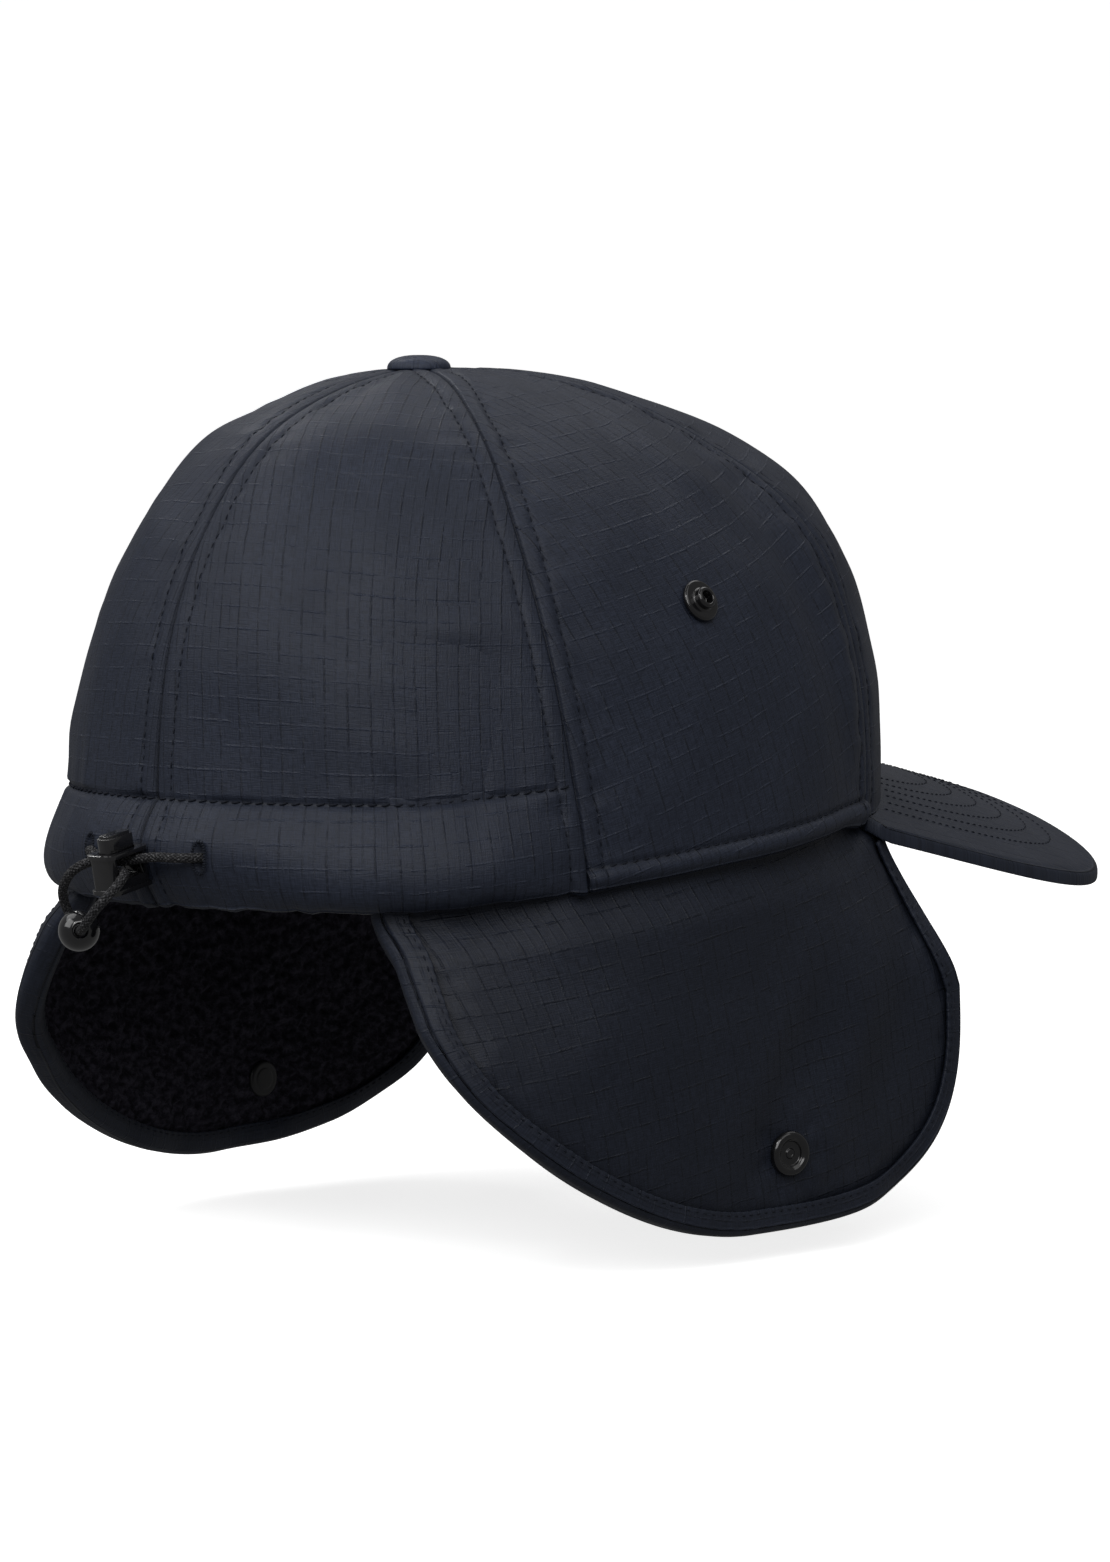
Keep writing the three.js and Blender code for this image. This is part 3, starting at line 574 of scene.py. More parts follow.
# A round section carried along a path with a frame that doesn't twist;
# radius = r * (1 + ripple * the crossing strands), ends closed by a small dome
def cordTube():
    path, length = smoothRoute(cordRoute, 1 / cord["perMillimetre"])
    tangent = unit(np.gradient(path, axis=0))
    side = np.zeros_like(path)
    side[0] = unit(np.cross(tangent[0], (0, 0, 1)))
    for k in range(1, len(path)):
        side[k] = side[k - 1] - tangent[k] * np.dot(side[k - 1], tangent[k])
        side[k] /= np.linalg.norm(side[k])
    other = np.cross(tangent, side)
    along = np.linspace(0, length, len(path))
    angle = np.arange(cord["around"]) * tau / cord["around"]
    turns = angle / tau
    strand, lay = turns * braidWeave["strands"], along[:, None] * braidWeave["lay"]
    left, right = np.abs((strand + lay) % 1 - 0.5), np.abs((strand - lay) % 1 - 0.5)
    radius = cord["diameter"] / 2 * (1 + cord["ripple"] * (0.5 - left - right))
    close = np.sqrt(np.clip(np.minimum(along, length - along) / cord["dome"], 0, 1))[:, None]
    radius = radius * np.maximum(close, cord["tip"])
    ring = np.cos(angle)[None, :, None] * side[:, None] + np.sin(angle)[None, :, None] * other[:, None]
    points = (path[:, None] + radius[..., None] * ring).reshape(-1, 3)
    uv = np.stack(np.broadcast_arrays(turns[None], along[:, None]), -1).reshape(-1, 2)
    faces = gridFaces(len(path), cord["around"], closeColumns=True)
    pole = np.array([[0, k, k + 1, k + 2] for k in range(1, cord["around"] - 2, 2)])
    last = (len(path) - 1) * cord["around"]
    faces = np.concatenate([faces, pole, pole[:, ::-1] + last])
    piece = newMesh("drawcord_braid", points, facingOut(points, faces), uv)
    return piece, path, length


cordPiece, cordPath, cordLength = cordTube()
finish(cordPiece, "braid", "braid", "drawcord")
print("cord made,", round(cordLength, 1), "mm")

# Crown surface. Bearings are in degrees from the front; a share is 0 at the hem and 1 at the top
crown = {
    "halfWidth": 86, "frontReach": 103, "rearReach": 105, "height": 120.3, "topBack": 20.3,
    "planPower": 2.1, "wall": 1.6, "hemRise": 21, "hemRiseFrom": 0.75, "topPinch": 0.05,
    "meanRadius": 95, "drawnIn": 80, "lap": 0.02,
}
hemRoll = {"height": 4.8, "bulge": 1.35}
casing = {"height": 24, "puff": 5.2, "puffOver": 0.2, "lean": 0.6, "leanOver": (20, 46)}
# The cord's hole: its dent and the shade painted into it run over minus the square of the distance, in half
# sizes of the hole
hole = {
    "x": 16.9, "level": 11.7, "halfWidth": 1.25, "halfHeight": 3.3, "squareness": 0.9,
    "depth": 1.7, "dentOver": (-1.1, -0.3), "dark": 1.2, "shadeOver": (-1.3, -0.7),
}
peak = {
    "halfWidth": 76.3, "rootBack": 59, "reach": 164.5, "power": 4.9, "thickness": 3.6, "corner": 58,
    "tongue": 1.8, "ridge": 38.55, "ridgeAt": 60, "arch": 27.2, "archWidth": 78, "archPower": 1.79,
    "slope": 0.23, "gap": 0.3,
}
profiles = {"front": (2.18, 3.84), "side": (2.11, 2.2), "rear": (1.7, 3.45)}  # how round, how steep
# bearing at the hem, swing from there to the top, power of the swing
seams = {"front": (0, 0, 1), "fore": (59.3, -7.5, 1.2), "aft": (114.3, 8.7, 1), "rear": (180, 0, 1)}
panels = {"crown_front": ("front", "fore"), "crown_side": ("fore", "aft"), "crown_rear": ("aft", "rear")}
seeds = {"crown_front": 11, "crown_side": 23, "crown_rear": 37, "left": 5}
grainTurn = {"crown_front": 0, "crown_side": 12, "crown_rear": 0}  # degrees


# height = ridge - arch |x / width|^power - slope (-y - ridgeAt)
def peakTop(x, y):
    return peak["ridge"] - peak["arch"] * np.abs(x / peak["archWidth"]) ** peak["archPower"] \
        - peak["slope"] * (-y - peak["ridgeAt"])


# x = width sin^e t, y = -reach cos^e t, with e = 2 / power
def hemPlan(t):
    reach = np.where(np.cos(t) > 0, crown["frontReach"], crown["rearReach"])
    e = 2 / crown["planPower"]
    return crown["halfWidth"] * signedPower(np.sin(t), e), -reach * signedPower(np.cos(t), e)


# hemRise * (from + cosine of the bearing) / (from + 1), level behind
def risingHem(cosine):
    start = crown["hemRiseFrom"]
    return crown["hemRise"] * np.clip((start + cosine) / (start + 1), 0, 1)


def hemHeight(t):
    x, y = hemPlan(t)
    return np.where(t < math.radians(peak["corner"]), peakTop(x, y) + peak["gap"], risingHem(np.cos(t)))


# The powers of the crown's upright curve: front and rear blended by (1 + cos t) / 2, and with side by sin^2 t
def profile(t):
    ahead, aside = 0.5 * (1 + np.cos(t)), np.sin(t) ** 2
    return [
        lerp(lerp(rear, front, ahead), beside, aside)
        for rear, front, beside in zip(profiles["rear"], profiles["front"], profiles["side"])
    ]


# radius share = (1 - h^rise)^(1 / round)
def radiusShare(t, h):
    roundness, rise = profile(t)
    return np.clip(1 - h ** rise, 0, 1) ** (1 / roundness)


# The hem's place times the radius share, drawn in towards a point behind the middle, at the height of share h
def crownBase(sign, t, h):
    radius = radiusShare(t, h)
    x, y = hemPlan(t)
    z = lerp(hemHeight(t), crown["height"], h)
    return np.stack([sign * x * radius, y * radius + crown["topBack"] * (1 - radius), z], -1)


# Outward direction, by small steps along and up
def crownNormal(sign, t, h, step=1e-3):
    low = np.clip(h, step, 1 - 2 * step)
    along = crownBase(sign, t + step, low) - crownBase(sign, t - step, low)
    up = crownBase(sign, t, low + step) - crownBase(sign, t, low - step)
    return unit(np.cross(along, up) * sign)


# Millimetres above the hem
def heightAbove(t, h):
    return h * (crown["height"] - hemHeight(t))


# Millimetres up the cloth, roughly: height plus the way drawn in
def climbed(t, h):
    return heightAbove(t, h) + crown["drawnIn"] * (1 - radiusShare(t, h))


# Millimetres of cloth round the crown in one radian of bearing
def roundScale(sign, t, h, step=1e-3):
    return np.linalg.norm(crownBase(sign, t + step, h) - crownBase(sign, t - step, h), axis=-1) / (2 * step)


# How whole the casing is: 0 at the aft seam, 1 a little behind it
def casingReach(t):
    return np.clip((math.cos(math.radians(seams["aft"][0])) - np.cos(t)) / casing["puffOver"], 0, 1)


# puff * sin(pi * share^lean); the lean drops the fullest line towards the hem, away from the lock
def casingPuff(t, h):
    above = heightAbove(t, h)
    lean = lerp(1, casing["lean"], smoothStep(hemPlan(t)[0], *casing["leanOver"]))
    share = np.clip(above / casing["height"], 0, 1) ** lean
    puff = casing["puff"] * casingReach(t) * np.sin(np.pi * share)
    return np.where(above < casing["height"], puff, 0)


# angle + swing * h^power
def seamAngle(name, h):
    angle, swing, power = seams[name]
    return np.radians(angle + swing * h ** power)


# Distances from a panel's two seams, in millimetres
def seamDistances(kind, sign, t, h):
    start, end = panels[kind]
    scale = roundScale(sign, t, h)
    return (t - seamAngle(start, h)) * scale, (seamAngle(end, h) - t) * scale


# The plain crown, moved out along its normal
def crownPoint(sign, t, h, offset):
    return crownBase(sign, t, h) + crownNormal(sign, t, h) * np.asarray(offset)[..., None]


# Rows up a panel: even millimetres above the hem first, then even steps over the top
panelGrid = {"lowTop": 27.0, "low": 46, "high": 76, "columns": 92, "crowding": 0.125}


# h = low / span, then sin^(2 / rise) of an angle that runs evenly to the pinch at the top
def rowHeights(t, low, climb):
    roundness, rise = profile(t)
    span = crown["height"] - hemHeight(t)
    start = np.arcsin((panelGrid["lowTop"] / span) ** (rise / 2))
    end = np.arccos(crown["topPinch"] ** (roundness / 2))
    over = np.sin(lerp(start, end, climb)) ** (2 / rise)
    return np.where(climb > 0, over, low / span)


# Beside each seam, a dent or ridge: height, distance from the seam, width
seamRelief = {"valley": (-0.8, 0, 0.42), "welt": (0.24, 2.3, 1.3), "stitchDent": (-0.3, 4.4, 0.6)}
# Shade painted into the seam's valley and its stitch dents: strength, distance from the seam, width
seamShade = {"valley": (0.9, 0, 0.3), "stitchDent": (0.3, 4.4, 0.4)}
# Puckers along the stitching, pulls that run out from it, and waves that grow away from the seam
relief = {
    "stitchAt": 4.4,
    "pucker": {"depth": 0.22, "pitch": 2.6, "row": 3.3, "reach": 2.2},
    "pull": {"depth": 0.42, "pitch": 4.6, "spread": 30, "fade": 6, "over": (2.5, 5.5)},
    "broad": {"depth": 0.75, "size": (27, 33)},
    "small": {"depth": 0.26, "size": (10, 14)},
    "calmOver": (0.5, 9), "foldOver": (1, 7),
}
# In the casing, shade is painted along the stitch line, as a strength and a width
casingRelief = {
    "lineDent": (0.7, 0.8), "lineShade": (0.55, 0.5), "depth": 0.75, "strength": 0.8, "fine": (2.9, 40),
    "coarse": (6.5, 60), "fadeUp": 8, "fadeDown": (0.75, 7), "atHem": (0.5, 6), "lineOver": (0.2, 1.6),
}
# In the roll, shade is painted along the stitch line, as a strength and a width
rollRelief = {"lineDent": (0.5, 0.6), "lineShade": (0.6, 0.45), "pucker": 0.12, "pitch": 2.4, "reach": 2.0}
# The hem's own edge: the casing's waves, and the side panel's sag by its front seam
hemEdge = {
    "wave": 0.5, "pitch": 3.4, "waveFade": 3, "seed": 71, "sag": 1.4, "sagOver": (-16, -2), "sagFade": 4,
}
# Where the crown is fuller or flatter than its plain curve: depth, height share, reach, bearing, reach
swells = {
    "backOfTop": (1.9, 0.86, 0.1, 160, 42), "frontShoulder": (1.8, 0.62, 0.14, 46, 17),
    "frontHigh": (-1.3, 0.85, 0.07, 46, 18), "overCasing": (-1.5, 0.27, 0.16, 138, 20),
    "backSide": (-1.2, 0.6, 0.2, 136, 24), "topSide": (1.0, 0.9, 0.08, 70, 30),
    "top": (1.0, 0.97, 0.035, 80, 70),
}
# Soft folds in the panels: depth, share across, its reach, millimetres above the hem, its reach, slope
foldLength = 60
folds = {
    "crown_rear": [
        (0.9, 0.2, 0.1, 62, 5, 0.25), (-0.9, 0.22, 0.12, 54, 5, 0.3), (0.7, 0.75, 0.12, 84, 7, -0.5),
        (-0.8, 0.55, 0.2, 98, 6, 0.2), (0.7, 0.4, 0.1, 36, 6, 0.3), (-0.5, 0.8, 0.1, 40, 9, 0),
    ],
    "crown_side": [
        (-1.3, 0.17, 0.07, 52, 34, 0), (0.9, 0.09, 0.035, 46, 26, 0), (0.8, 0.33, 0.1, 86, 9, 0.7),
        (-0.7, 0.42, 0.13, 76, 8, 0.7), (0.6, 0.85, 0.1, 70, 10, -0.4), (-0.6, 0.78, 0.1, 34, 9, -0.4),
    ],
    "crown_front": [(0.8, 0.3, 0.15, 40, 10, 0.2), (-0.8, 0.7, 0.15, 60, 9, 0.3), (0.6, 0.6, 0.1, 28, 8, 0)],
}


# The swells, summed: depth * bell of the height share * bell of the bearing
def swellAt(t, h):
    return sum(
        depth * bell(h, up, upReach) * bell(np.degrees(t), bearing, reach)
        for depth, up, upReach, bearing, reach in swells.values()
    )


# The folds, summed: depth * bell of the share across * bell of the height, its line sloping with the share
def foldAt(kind, share, above):
    total = 0
    for depth, across, acrossReach, up, upReach, slope in folds[kind]:
        line = above - up - slope * foldLength * (share - across)
        total = total + depth * bell(share, across, acrossReach) * bell(line, 0, upReach)
    return total


# Ridges and dents beside a seam, summed: height * bell of the distance
def besideSeam(rows, seam):
    return sum(height * bell(seam, at, width) for height, at, width in rows.values())


# The rear casing: puff, the dent of its stitch line, gathers that fade away from the line, the cord's hole,
# and the shade painted along the line and into the hole
def casingOffset(t, h, arc, seed):
    r = casingRelief
    reach, above = casingReach(t), heightAbove(t, h)
    line = above - casing["height"]
    gathers = sum(
        r["strength"] * noise(arc / pitch, above / length, seed + 3 + k)
        for k, (pitch, length) in enumerate((r["fine"], r["coarse"]))
    )
    below = r["fadeDown"][0] * np.exp(line / r["fadeDown"][1])
    below = below + r["atHem"][0] * np.exp(-above / r["atHem"][1])
    fade = np.where(line > 0, np.exp(-line / r["fadeUp"]), below)
    offset = casingPuff(t, h) - r["lineDent"][0] * bell(line, 0, r["lineDent"][1]) * reach
    offset += r["depth"] * gathers * fade * reach * smoothStep(np.abs(line), *r["lineOver"])
    fromHole = ((hemPlan(t)[0] - hole["x"]) / hole["halfWidth"]) ** 2
    fromHole = fromHole + ((above - hole["level"]) / hole["halfHeight"]) ** 2
    offset -= hole["depth"] * smoothStep(-fromHole, *hole["dentOver"])
    # painted shade along the stitch line and in the cord's hole
    creaseShade = r["lineShade"][0] * bell(line, 0, r["lineShade"][1]) * reach
    return offset, creaseShade + hole["dark"] * smoothStep(-fromHole, *hole["shadeOver"])


# The side panel's rolled hem: bulge * sin(pi * height share), with a puckered stitch line above it and shade
# painted along that line
def hemRollOffset(t, h, arc, seed):
    r = rollRelief
    above = heightAbove(t, h)
    line = above - hemRoll["height"]
    offset = np.where(line < 0, hemRoll["bulge"] * np.sin(np.pi * above / hemRoll["height"]), 0)
    offset = offset - r["lineDent"][0] * bell(line, 0, r["lineDent"][1])
    offset += r["pucker"] * noise(arc / r["pitch"], 0.5, seed + 5) * bell(line, 0, r["reach"])
    return offset, r["lineShade"][0] * bell(line, 0, r["lineShade"][1])


# Outward offset of the cloth of a panel, in millimetres, and how much shade is painted on it in seams, stitch
# lines and the cord's holes
def panelRelief(kind, sign, t, h, fromSeam, toSeam):
    pucker, pull = relief["pucker"], relief["pull"]
    above, along, arc = heightAbove(t, h), climbed(t, h), t * crown["meanRadius"]
    seam = np.minimum(fromSeam, toSeam)
    seed = seeds[kind] + (seeds["left"] if sign > 0 else 0)
    offset = besideSeam(seamRelief, seam)
    bunched = noise(along / pucker["pitch"], pucker["row"] + 0 * seam, seed)
    offset += pucker["depth"] * bunched * bell(seam, relief["stitchAt"], pucker["reach"])
    outside = np.clip(seam - relief["stitchAt"], 0, None)
    pulled = noise(along / pull["pitch"], outside / pull["spread"], seed + 9)
    offset += pull["depth"] * pulled * np.exp(-outside / pull["fade"]) * smoothStep(seam, *pull["over"])
    share = fromSeam / np.maximum(fromSeam + toSeam, 1)
    offset += swellAt(t, h) + foldAt(kind, share, above) * smoothStep(seam, *relief["foldOver"])
    for k, name in enumerate(("broad", "small"), 1):
        width, length = relief[name]["size"]
        wave = relief[name]["depth"] * noise(arc / width, along / length, seed + k)
        offset += wave * smoothStep(seam, *relief["calmOver"])
    # painted shade in the seam's valley and stitch dents
    creaseShade = besideSeam(seamShade, seam)
    if kind != "crown_front":
        own = casingOffset if kind == "crown_rear" else hemRollOffset
        ownOffset, ownShade = own(t, h, arc, seed)
        offset, creaseShade = offset + ownOffset, creaseShade + ownShade
    return offset, np.clip(creaseShade, 0, 1)


# How far the hem's edge drops: the casing's waves behind, the sag beside the front seam of the side panel
def hemDrop(kind, t, h, fromSeam):
    above = heightAbove(t, h)
    if kind == "crown_rear":
        wave = noise(t * crown["meanRadius"] / hemEdge["pitch"], 0.5, hemEdge["seed"])
        return -hemEdge["wave"] * wave * np.exp(-above / hemEdge["waveFade"])
    if kind == "crown_side":
        sag = hemEdge["sag"] * smoothStep(-fromSeam, *hemEdge["sagOver"])
        return sag * np.exp(-above / hemEdge["sagFade"])
    return 0


def panelPiece(kind, side):
    sign = sides[side]
    start, end = panels[kind]
    grid = panelGrid
    low = np.concatenate([np.linspace(0, grid["lowTop"], grid["low"] + 1), np.zeros(grid["high"])])
    climb = np.concatenate([np.zeros(grid["low"]), np.linspace(0, 1, grid["high"] + 1)])
    # columns crowd towards both seams, where the cloth turns in
    column = np.linspace(0, 1, grid["columns"] + 1)
    column = column - grid["crowding"] * np.sin(tau * column)
    climb = np.meshgrid(climb, column, indexing="ij")[0]
    low, column = np.meshgrid(low, column, indexing="ij")
    t = np.radians(lerp(seams[start][0], seams[end][0], column))
    # rows depend on the bearing, and the bearing of a sloping seam on the row
    for _ in range(4):
        h = rowHeights(t, low, climb)
        t = lerp(seamAngle(start, h), seamAngle(end, h), column)
    fromSeam, toSeam = seamDistances(kind, sign, t, h)
    offset, creaseShade = panelRelief(kind, sign, t, h, fromSeam, toSeam)
    # neighbours lap by a hair, so no light comes through the seam
    lapped = t - crown["lap"] / roundScale(sign, t, h) * (1 - 2 * column)
    outer = crownPoint(sign, lapped, h, offset)
    inner = crownPoint(sign, lapped, h, 0 * offset - crown["wall"])
    drop = hemDrop(kind, t, h, fromSeam)
    outer[..., 2] -= drop
    inner[..., 2] -= drop
    base = crownBase(sign, t, h)
    along = lengthAlong(base[:, base.shape[1] // 2])[:, None] + 0 * t
    uv = turnedPlace((column - 0.5) * (fromSeam + toSeam), along, grainTurn[kind])
    piece = sheet(f"{kind}_{side}_cloth", outer, inner, uv, creaseShade, bulge=(1, 0, 0, 0))
    return finish(piece, "ripstop", "ripstop", f"{kind}_{side}")


for side in sides:
    for kind in panels:
        panelPiece(kind, side)

# Seam tape: a strip behind each seam, on the inner face. Its half width is even until the seams draw together
seamTape = {
    "halfWidth": 4.2, "widest": 0.4, "gap": 0.15, "thick": 0.45, "rows": 90, "columns": 6, "top": 0.9996,
    "from": {"front": 0.3, "fore": 6.0, "aft": 6.0, "rear": 0.3},
}


# bearing = the seam's + across * half width, at h = from + (top - from) sin(share * pi / 2)
def seamTapePiece(name, sign, label):
    share, across = np.meshgrid(
        np.linspace(0, 1, seamTape["rows"]), np.linspace(-1, 1, seamTape["columns"]), indexing="ij",
    )
    start = seamTape["from"][name] / (crown["height"] - hemHeight(seamAngle(name, 0 * share)))
    h = lerp(start, seamTape["top"], np.sin(share * math.pi / 2))
    t = seamAngle(name, h)
    t = t + across * np.minimum(seamTape["halfWidth"] / roundScale(sign, t, h), seamTape["widest"])
    depth = crown["wall"] + seamTape["gap"]
    outer = crownPoint(sign, t, h, 0 * t - depth)
    inner = crownPoint(sign, t, h, 0 * t - depth - seamTape["thick"])
    uv = np.stack([across * seamTape["halfWidth"], climbed(t, h)], -1)
    finish(sheet(f"seam_tape_{label}", outer, inner, uv, bulge=(0, 0, 0, 0), rimSteps=2), "tape", "tape")


for name in seams:
    if name in ("front", "rear"):
        seamTapePiece(name, 1, name)
    else:
        for side, sign in sides.items():
            seamTapePiece(name, sign, f"{name}_{side}")
print("crown panels made")

# Top button: a covered dome on a plain stem. r = radius * cos^(2/power), z = height * sin^(2/power)
button = {
    "radius": 7.5, "height": 3.6, "power": 2.4, "skirt": 0.15, "foot": 0.3,
    "stem": 3.2, "stemDepth": 4.0, "steps": 22,
}
buttonProfile = [
    [0, -button["stemDepth"]], [button["stem"], -button["stemDepth"]], [button["stem"], button["skirt"]],
    [button["radius"] - button["foot"], button["skirt"]],
]
for angle in np.linspace(0, math.pi / 2, button["steps"]):
    radius = button["radius"] * math.cos(angle) ** (2 / button["power"])
    rise = (button["height"] - button["foot"]) * math.sin(angle) ** (2 / button["power"])
    buttonProfile.append([radius, button["foot"] + rise])
buttonProfile[-1][0] = 0
topPlace = np.array((0, crown["topBack"], crown["height"]))
buttonPiece = turned("top_button_cloth", buttonProfile, topPlace, (0, 0, 1))
# the button's cloth is the lighter copy: painted light on its top
finish(buttonPiece, "ripstopButtonLit", "ripstop", "top_button")

# Peak: an arched board between the front hem and a squarish front edge
peakGrid = {"columns": 180, "rows": 64, "first": 0.004}
peakCover = {"inset": 0.35, "insetOver": 0.03, "under": 0.5, "wave": 0.3, "waveSize": (30, 25), "seed": 5}


# From the hem to the front edge by s; the edge is half a superellipse
def peakPlan(a, s):
    hemX, hemY = hemPlan(np.abs(a) * math.radians(peak["corner"]))
    angle = np.abs(a) * math.pi / 2
    ray = superRay(angle, peak["power"])
    edgeX = peak["halfWidth"] * ray * np.sin(angle)
    edgeY = -peak["rootBack"] - (peak["reach"] - peak["rootBack"]) * ray * np.cos(angle)
    return np.sign(a) * lerp(hemX, edgeX, s), lerp(hemY, edgeY, s)


# A slight unevenness of the covered board, in millimetres
def peakWave(x, y):
    wide, deep = peakCover["waveSize"]
    return peakCover["wave"] * noise(x / wide, y / deep, peakCover["seed"])


# The arched face less a drop; the first row is a tongue that goes in under the crown
def peakSurface(a, s, drop):
    x, y = peakPlan(a, s)
    rootPull = 1 - peak["tongue"] / np.hypot(x, y) * (s <= 0)
    return np.stack([x * rootPull, y * rootPull, peakTop(x, y) - drop], -1)


a = np.linspace(-1, 1, peakGrid["columns"] + 1)
s = np.concatenate([[0.0], np.linspace(peakGrid["first"], 1, peakGrid["rows"])])
s, a = np.meshgrid(s, a, indexing="ij")
peakUv = np.stack(peakPlan(a, s), -1)
edgeInset = peakCover["inset"] * bell(1 - s, 0, peakCover["insetOver"])
peakOuter = peakSurface(a, s, edgeInset - peakWave(peakUv[..., 0], peakUv[..., 1]))
peakInner = peakSurface(a, s, peak["thickness"] - edgeInset * peakCover["under"])
peakPiece = sheet("peak_cloth", peakOuter, peakInner, peakUv, bulge=(0, 0.6, 0.6, 0.6), power=3.2, rimSteps=8)
finish(peakPiece, "ripstopPeak", "ripstop", "peak")
print("peak made")

# Ear flaps. y runs to the rear, z is 0 at the rear hem and negative below it
snap = {"studAngle": 91.5, "studShare": 0.528, "socketY": -9.8, "socketLevel": -60, "round": 0.28}
flap = {
    "middle": 4, "halfLength": 80, "wideLevel": -25, "drop": 53, "rearPower": 1.75, "frontPower": 3,
    "rearTop": 84, "frontTop": -62, "frontTopLevel": 10.4, "cornerFrom": -54, "cornerTo": -59, "tuck": 4,
    "inset": 4.8, "stepFrom": 1, "stepTo": 13, "frontStepTo": 6, "frontStepOver": (42, 60),
    "flattenOver": 40, "flatWidth": 86, "flatReach": 112, "flatPower": 2.6, "flare": 4, "flareOver": 90,
    "sideShare": 0.12, "grain": 9.5,
}
layer = {
    "shellOut": 1.05, "shellIn": 0.15, "liningOut": -0.15, "liningIn": -1.95,
    "tape": 0.7, "tapeGap": 0.6, "backGap": 1, "tapeWidth": 5.8,
}


# width (1 - (|y| / reach)^power)^(1 / power)
def ovalWidth(y, width, frontReach, rearReach, power):
    reach = np.where(y < 0, frontReach, rearReach)
    return width * (1 - np.minimum(np.abs(y) / reach, 0.999) ** power) ** (1 / power)


# Height of the hem over y
def flapHem(y):
    reach = np.where(y < 0, crown["frontReach"], crown["rearReach"])
    return risingHem(-signedPower(y / reach, crown["planPower"] / 2))


def hemOval(y, inset):
    sizes = (crown[key] - inset for key in ("halfWidth", "frontReach", "rearReach"))
    return ovalWidth(y, *sizes, crown["planPower"])


# The flap's plain surface: inside the hem's oval at its top, it steps out to the oval below the hem and then
# flattens towards a straighter oval that flares a little
def flapWidth(y, z):
    depth = np.maximum(flapHem(y) - z, 0)
    flat = ovalWidth(np.maximum(y, 0), flap["flatWidth"], 1, flap["flatReach"], flap["flatPower"])
    flared = flat + flap["flare"] * depth / flap["flareOver"]
    stepTo = lerp(flap["stepTo"], flap["frontStepTo"], smoothStep(-y, *flap["frontStepOver"]))
    return hemOval(y, flap["inset"]) + flap["inset"] * smoothStep(depth, flap["stepFrom"], stepTo) \
        + (flared - hemOval(y, 0)) * smoothStep(depth, flap["stepFrom"], flap["flattenOver"])


# (1, -dx/dy, -dx/dz), made unit
def flapNormal(y, z, step=0.5):
    slopeY = (flapWidth(y + step, z) - flapWidth(y - step, z)) / (2 * step)
    slopeZ = (flapWidth(y, z + step) - flapWidth(y, z - step)) / (2 * step)
    return unit(np.stack([np.ones_like(slopeY), -slopeY, -slopeZ], -1))


# How the right flap, -1, and the left flap, 1, hang, in millimetres. The bottom lifts, lifts more at the
# front and curls in. The front draws back, and the rear reaches back and spreads out. The heel draws in,
# and the flap turns a little at the snap
hang = {
    -1: {
        "lift": 0.8, "frontLift": 0, "curl": 1.8, "front": 3.4, "rear": -0.8, "spread": 0,
        "heel": 1.5, "turn": 0.2,
    },
    1: {
        "lift": 3.3, "frontLift": 4.6, "curl": 1.0, "front": 0.5, "rear": 6.0, "spread": 3.2,
        "heel": 0, "turn": 0,
    },
}
# Where each move sets in and is whole, over y to the rear or front, or over the depth below the rear hem.
# A move at one level has that level and its reach instead
hangOver = {
    "lift": (30, 78), "frontLift": (-40, 60), "curl": (36, 90), "front": (30, 76), "frontDepth": (-8, 20),
    "rear": (30, 80), "rearAt": (-12, 28), "spread": (25, 75), "spreadAt": (-18, 22),
    "heel": (10, 50), "heelDepth": (35, 55), "turn": 14,
}
flapFolds = {
    "depth": 1.3, "length": 38, "width": 17, "lean": 0.45, "seeds": {-1: 61, 1: 83}, "over": (-6, 14),
    "snapOver": (4, 16),
}


# Distance in millimetres from the snap, over the flap
def fromSnap(y, z):
    return np.hypot(y - snap["socketY"], z - snap["socketLevel"])


# Soft folds that run down from the hem, leaning forward: depth * noise of the place across them. With them go
# the turn at the snap, the curl and the spread
def flapFold(sign, y, z):
    move, away = hang[sign], fromSnap(y, z)
    across = (y + flapFolds["lean"] * z) / flapFolds["width"]
    fold = flapFolds["depth"] * noise(across, z / flapFolds["length"], flapFolds["seeds"][sign])
    fold = fold * smoothStep(-z, *flapFolds["over"]) * smoothStep(away, *flapFolds["snapOver"])
    swing = move["turn"] * (y - snap["socketY"]) * bell(away, 0, hangOver["turn"])
    spread = move["spread"] * smoothStep(y, *hangOver["spread"]) * bell(z, *hangOver["spreadAt"])
    return fold - swing - move["curl"] * smoothStep(-z, *hangOver["curl"]) + spread


# The plain surface at a place moved by the hang, plus the normal times offset and fold
def flapPoint(sign, y, z, offset):
    move, over = hang[sign], hangOver
    lift = move["lift"] + move["frontLift"] * smoothStep(-y, *over["frontLift"])
    lowered = z + lift * smoothStep(-z, *over["lift"])
    pushed = y + move["front"] * smoothStep(-y, *over["front"]) * smoothStep(-z, *over["frontDepth"])
    pushed += move["rear"] * smoothStep(y, *over["rear"]) * bell(z, *over["rearAt"])
    pushed -= move["heel"] * smoothStep(y, *over["heel"]) * smoothStep(-z, *over["heelDepth"])
    place = np.stack([flapWidth(pushed, lowered), pushed, lowered], -1)
    place = place + flapNormal(pushed, lowered) * (np.asarray(offset) + flapFold(sign, y, z))[..., None]
    return place * (sign, 1, 1)


# Outward direction of the hanging flap, by small steps over it
def flapFacing(sign, y, z, step=0.5):
    alongY = flapPoint(sign, y + step, z, 0) - flapPoint(sign, y - step, z, 0)
    alongZ = flapPoint(sign, y, z + step, 0) - flapPoint(sign, y, z - step, 0)
    return unit(np.cross(alongY, alongZ)) * sign


